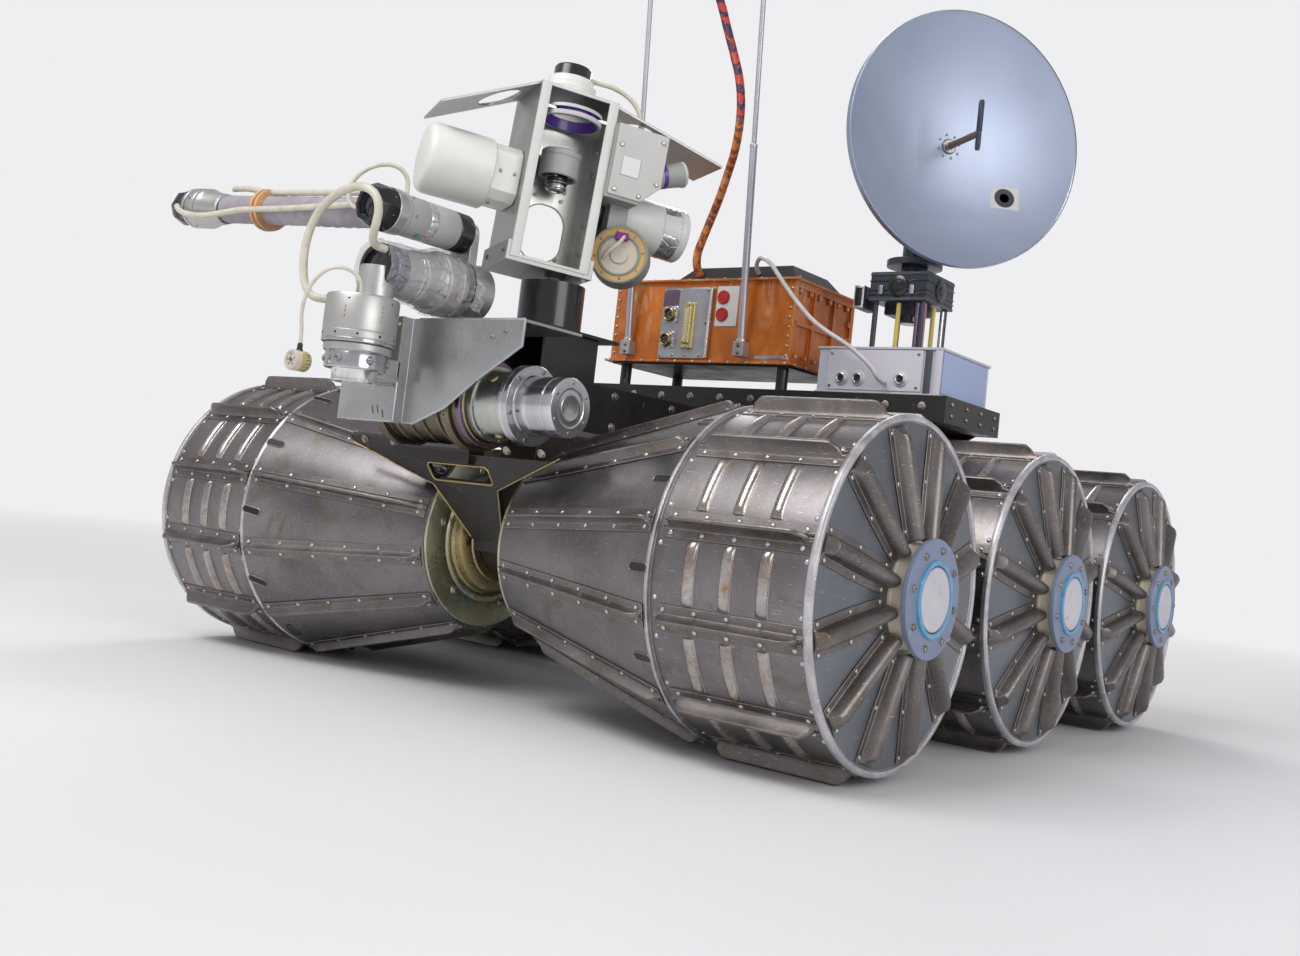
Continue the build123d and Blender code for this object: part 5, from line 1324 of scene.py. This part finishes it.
# Control box: front plate, bare dials, corner channels and a bluish end plate
shape = Shape()
front = at(control_front, 0, 0)
shape.slabs(
    front, ((-2, -0.8), (206, 340), (421, 473.4), "case_front", 0.3),
    ((-2, -0.2), (343, 352), (417.4, 475.6), "channel", 0.4),
    ((-2.6, -0.4), (356, 365.6), (417.4, 475.6), "case_front", 0.4),
    ((-140, -6), (364, 365.4), (420, 473), "case_blue", 0.3),
)
# Each dial's centre is a black disc of painted shade
for place in places([(-0.8, y, 436) for y in (252, 312, 228)], x_way, front):
    shape.bands(place, 40, ("case_front", (9.4, -0.4), (9.4, 1.4), (8.6, 2.2), (7.0, 2.2)),
                ("steel", (7.0, 2.2), (6.8, 4.0), (5.4, 4.6), (4.6, 3.4)), ("hole", (4.6, 3.4), (0.3, 3.0)))
shape.screws(places([(-0.8, y, z) for y in (211, 334) for z in (426, 468)], x_way, front), 2.0, 1.1)
shape.screws(places([(x, y, control_top) for x in (-58, 60) for y in (198, 358)], z_way), 2.4, 1.3)
piece("control_fittings", shape, "chassis")

# Deck: bolts along its edges and on the backbone
shape = Shape()
for side in (-1, 1):
    bolts = [(side * deck_edge, y, deck_bolt_z) for y in range(-350, 351, 50)]
    shape.hexagons(places(bolts, (side, 0, 0)), 4.2, 3.2)
    rivets = [(x, side * deck_end, z) for x in (-66, -22, 22, 66) for z in (393, 407)]
    shape.domes(places(rivets, (0, side, 0)), 3.2, 2.2, "bolt")
    bolts = [(x, side * beam_side, z) for x in (-430, -300, -180, 180, 300) for z in (334, 372)]
    shape.hexagons(places(bolts, (0, side, 0)), 4.6, 3.6)
piece("deck_bolts", shape, "chassis")

# Mast rods: collars at the joints and clamp screws
shape = Shape()
for y in (-115, 80):
    rod = at(rod_foot[0], y, rod_foot[1])
    for height, radius in ((22, 6.6), (285, 5.6)):
        place = rod @ on((height * lean, 0, height), (lean, 0, 1))
        shape.turned([(radius - 1, -3), (radius, -2), (radius, 2), (radius - 1, 3)], "steel", place, 24)
    shape.hexagons(places([(98, y, z) for z in (463, 473)], x_way), 2.6, 2.4)
    shape.turned([(5.2, -2), (5.2, 2)], "steel", rod @ on((550 * lean, 0, 550), (lean, 0, 1)), 20)
piece("mast_fittings", shape, "chassis")

# Dish: spun reflector with a rim band, rivets at its middle, a bare sticker and the feed rods
shape = Shape()
vertex, depth, edge_radius = 58.0, 42.0, 160.0
axis = dish_place @ turned_x


def dish_height(radius):
    return vertex + depth * (radius / edge_radius) ** 2


def dish_point(y, z, off):
    """A point of the reflector's front, a little off its skin."""
    return (dish_height(sqrt(y * y + z * z)) + off, y, z)


radii = [0.3 + (edge_radius - 1.3) * number / 40 for number in range(41)]
lip, rim_z, inner_z = edge_radius - 1.0, dish_height(edge_radius), dish_height(edge_radius - 1)
shape.bands(
    axis, 160, ("wiped", *((radius, dish_height(radius)) for radius in radii)),
    ("panel", (lip, inner_z), (edge_radius, rim_z + 0.6), (edge_radius + 0.4, rim_z - 0.6),
     (edge_radius, rim_z - 3.0), (lip, inner_z - 2.6)),
    ("wiped", (edge_radius - 0.2, rim_z + 1.4), (edge_radius + 1.0, rim_z + 0.8),
     (edge_radius + 1.2, rim_z - 8.0),
     (edge_radius - 0.2, rim_z - 8.4), (edge_radius - 0.4, rim_z - 1.0)),
    ("dish", *((radius, dish_height(radius) - 2.6) for radius in reversed(radii))),
)
shape.domes(ring_of(8, 15.0, dish_height(15), 0.3, axis), 1.6, 0.9, "bolt")
shape.bands(axis @ at(0, 0, dish_height(9)), 40, ("yoke", (9.5, -0.2), (9.5, 2), (8.6, 3), (0.3, 3)))
shape.turned([(4.2, 0), (4.2, 66), (3.4, 70), (0.3, 74)], "feed_brown",
             dish_place @ on((vertex, 0, 0), x_way), 20)
feed = dish_place @ at(vertex + 70, 0, 0)
shape.turned([(3.2, 0), (3.2, 2), (3.6, 3), (3.6, 38), (2.8, 41.4), (0.3, 41.6)], "feed_dark",
             feed @ on((0, 0, 0), z_way), 20)
shape.turned([(3.4, 0), (3.4, 18), (2.6, 21), (0.3, 21)], "feed_dark", feed @ on((0, 0, 0), (0, 0, -1)), 20)
square = [[dish_point(y, z, 0.12) for z in (-71.0, -63.5, -56.0, -48.5, -41.0)] for y in range(60, 97, 6)]
rings = [[dish_point(78 + radius * cos(angle), -56 + radius * sin(angle), 0.25) for angle in circle(36)]
         for radius in (0.5, 6, 12.6)]
shape.rows(square, "cover", dish_place, ends=False)
shape.rows(rings[:2], "violet_ring", dish_place, around=True)
shape.rows(rings[1:], "feed_dark", dish_place, around=True, ends=False)
shape.turned([(19, vertex - 14), (19, vertex - 3.2), (30, vertex - 2.6), (30, vertex - 1.0)], "yoke", axis,
             48)
shape.slab((-6, vertex - 10), (-16.4, 16.4), (-6, 6), "drive", dish_place, 1.0)
shape.turned([(6, -22), (6, 22)], "steel", dish_place @ turn_x, 24)
piece("dish_skin", shape, "dish_elevation", ("dish",), smooth=30)

# Drives under the dish: dark blocks with rims, coloured leads and screws
shape = Shape()
centre = at(dish_x, dish_y, 0)
drive = at(dish_x, dish_y, control_top)
for z in (66, 99):
    shape.slab((-41, 41), (-41, 41), (z - 2, z + 1.6), "channel", drive)
for z in (72, 78, 90):
    shape.slab((-41.2, 41.2), (-41.2, 41.2), (z - 0.8, z + 0.8), "motor", drive, 0.3)
for x, y, look in ((-27, 33, "steel"), (27, 33, "pink"), (33, 0, "yellow"), (33, 27, "violet_ring"),
                   (0, 33, "yellow")):
    shape.turned([(3.0, 0), (3.0, 62)], look, drive @ at(x, y, 0), 16)
shape.slabs(
    drive, ((2, 40), (-46, -41), (66, 82), "drive", 0.8), ((6, 44), (-60, -46), (54, 84), "drive", 1.2),
    ((44, 45.2), (-60, -46), (54, 84), "bright_edge", 0.4),
    ((45.2, 45.8), (-58, -48), (57, 81), "motor", 0.2),
    ((41, 43), (-27, -21), (72, 84), "panel", 0.5), ((41, 43), (17, 23), (72, 84), "panel", 0.5),
    ((-14, 16), (-30, 24), (50, 66), "drive", 1.4),
)
shape.bands(drive, 40, ("motor", (0.3, 40), (13, 40), (15, 42), (15, 50), (0.3, 50.4)))
shape.studs(round_side(4, 33, 83, 0.0, drive), "motor", 40, (14, 7), (14, 8.6), (12.4, 9.4), (6.4, 9.6),
            (6.0, 11),
            (0.3, 11))
shape.screws(places([(x, y, 100.6) for x in (-33, 33) for y in (-33, 33)], z_way, drive), 2.4, 1.4)
piece("dish_drive_fittings", shape, "chassis")
shape = Shape()
shape.bands(centre, 48, ("motor", (14.2, 600), (17, 602), (17, 640), (14.2, 642)),
            ("channel", (14.2, 660), (15.6, 661), (15.6, 667), (14.2, 668)))
shape.screws(ring_of(6, 28, 599.6, 0.3, centre), 2.2, 1.2)
piece("dish_turntable_fittings", shape, "dish_azimuth")

# Front bracket: gold edge strip and window rim
shape = Shape()
foot = Vector((446, 0, axle_z))
up_way = Vector((530, 0, axle_z + 106.5)) - foot
reach = up_way.length
up_way = up_way.normalized()
out_way = Vector((up_way.z, 0, -up_way.x))


def on_vee(y, share, off=3.6):
    """A point before the bracket, from its place across, its share of the way up and its distance off."""
    return foot + up_way * reach * share + Vector((0, y, 0)) + out_way * off


for side in (-1, 1):
    strip = [on_vee(side * y, share) for y, share in ((25, 0.03), (51.4, 0.56), (163.4, 0.93))]
    shape.tube(strip, 0.9, "gold", sides=8)
shape.ring([on_vee(y, 0.56 + (z + 18) / reach, 3.1) for y, z in rounded((-48, 48), (-12, 12), 6, 4)], 1.2,
           "gold")
shape.hexagons(places([on_vee(y, 0.965, 3.0) for y in (-140, -90, 90, 140)], out_way), 4.0, 3.4)
piece("front_bracket_trim", shape, "chassis")

# The floor, which fades into the background far from the rover
background_tone = (0.86, 0.86, 0.88, 1)
stage = Look("stage_floor")
stage_tone = stage.mix(stage.span(stage.noise(2.0, 2.0), 0.3, 0.7), (0.80, 0.80, 0.81), (0.83, 0.83, 0.84))
stage.fill(stage.shader, {"Base Color": stage_tone, "Roughness": 0.9})
distance = stage.made("VectorMath", "Value", {0: stage.plain}, operation="LENGTH")
horizon = stage.made("Emission", 0, {"Color": background_tone})
blend = stage.made("MixShader", 0, {0: stage.span(distance, 1.2, 3.6), 1: stage.shader.outputs[0],
                                    2: horizon})
stage.fill(stage.tree.nodes["Material Output"], {"Surface": blend})
floor_mesh = bpy.data.meshes.new("floor")
reach = 14.0
floor_corners = [(-reach, -reach, 0), (reach, -reach, 0), (reach, reach, 0), (-reach, reach, 0)]
floor_mesh.from_pydata(floor_corners, [], [(0, 1, 2, 3)])
floor_mesh.materials.append(stage.material)
put("floor", floor_mesh)


# Light and camera

def studio_world():
    """A soft grey sky for the light, and one plain tone behind the rover for the camera."""
    world = bpy.data.worlds.new("studio")
    bpy.context.scene.world = world
    world.use_nodes = True
    tree = world.node_tree
    sky = tree.nodes["Background"]
    sky.inputs["Strength"].default_value = 0.62
    ramp = tree.nodes.new("ShaderNodeValToRGB")
    tones = ((0.82, 0.82, 0.84, 1), (0.62, 0.62, 0.66, 1))
    for number, (held, tone) in enumerate(zip(ramp.color_ramp.elements, tones)):
        held.position = number
        held.color = tone
    split = tree.nodes.new("ShaderNodeSeparateXYZ")
    pale = tree.nodes.new("ShaderNodeBackground")
    pale.inputs["Color"].default_value = background_tone
    mixed = tree.nodes.new("ShaderNodeMixShader")
    for start, end in (
        (tree.nodes.new("ShaderNodeTexCoord").outputs["Generated"], split.inputs[0]),
        (split.outputs["Z"], ramp.inputs["Fac"]),
        (ramp.outputs["Color"], sky.inputs["Color"]),
        (tree.nodes.new("ShaderNodeLightPath").outputs["Is Camera Ray"], mixed.inputs["Fac"]),
        (sky.outputs[0], mixed.inputs[1]),
        (pale.outputs[0], mixed.inputs[2]),
        (mixed.outputs[0], tree.nodes["World Output"].inputs["Surface"]),
    ):
        tree.links.new(start, end)


def lamp(name, location, target, size, power):
    light = bpy.data.lights.new(name, "AREA")
    light.shape = "RECTANGLE"
    light.size, light.size_y = size
    light.energy = power
    made = put(name, light)
    made.location = location
    made.rotation_euler = (Vector(target) - Vector(location)).to_track_quat("-Z", "Y").to_euler()


def photo_camera():
    """The camera that the photo was taken with, as solved from the wheels."""
    lens = bpy.data.cameras.new("camera")
    lens.sensor_fit = "HORIZONTAL"
    lens.sensor_width = 36.0
    lens.lens = 35.691
    lens.shift_y = -0.03423
    lens.clip_start = 0.05
    lens.clip_end = 60.0
    camera = put("camera", lens)
    yaw, pitch, roll = radians(217.48), radians(3.45), radians(6.4)
    ahead = Vector((cos(yaw) * cos(pitch), sin(yaw) * cos(pitch), sin(pitch)))
    right = Vector((sin(yaw), -cos(yaw), 0))
    up = right.cross(ahead)
    across = cos(roll) * right + sin(roll) * up
    upright = -sin(roll) * right + cos(roll) * up
    place = Matrix((across, upright, -ahead)).transposed().to_4x4()
    place.translation = to_row @ Vector((1532.67, 1048.44, 236.45))
    camera.matrix_world = place
    bpy.context.scene.camera = camera
    bpy.context.scene.view_settings.view_transform = "Standard"


studio_world()
lamp("key", (2.2, -0.4, 2.6), (0.1, 0.1, 0.4), (1.8, 1.4), 54)
lamp("fill", (1.0, 3.2, 1.5), (0.0, 0.1, 0.4), (2.0, 1.6), 34)
lamp("rim", (-2.4, -1.6, 2.4), (0.0, 0.0, 0.5), (1.4, 1.4), 34)
photo_camera()
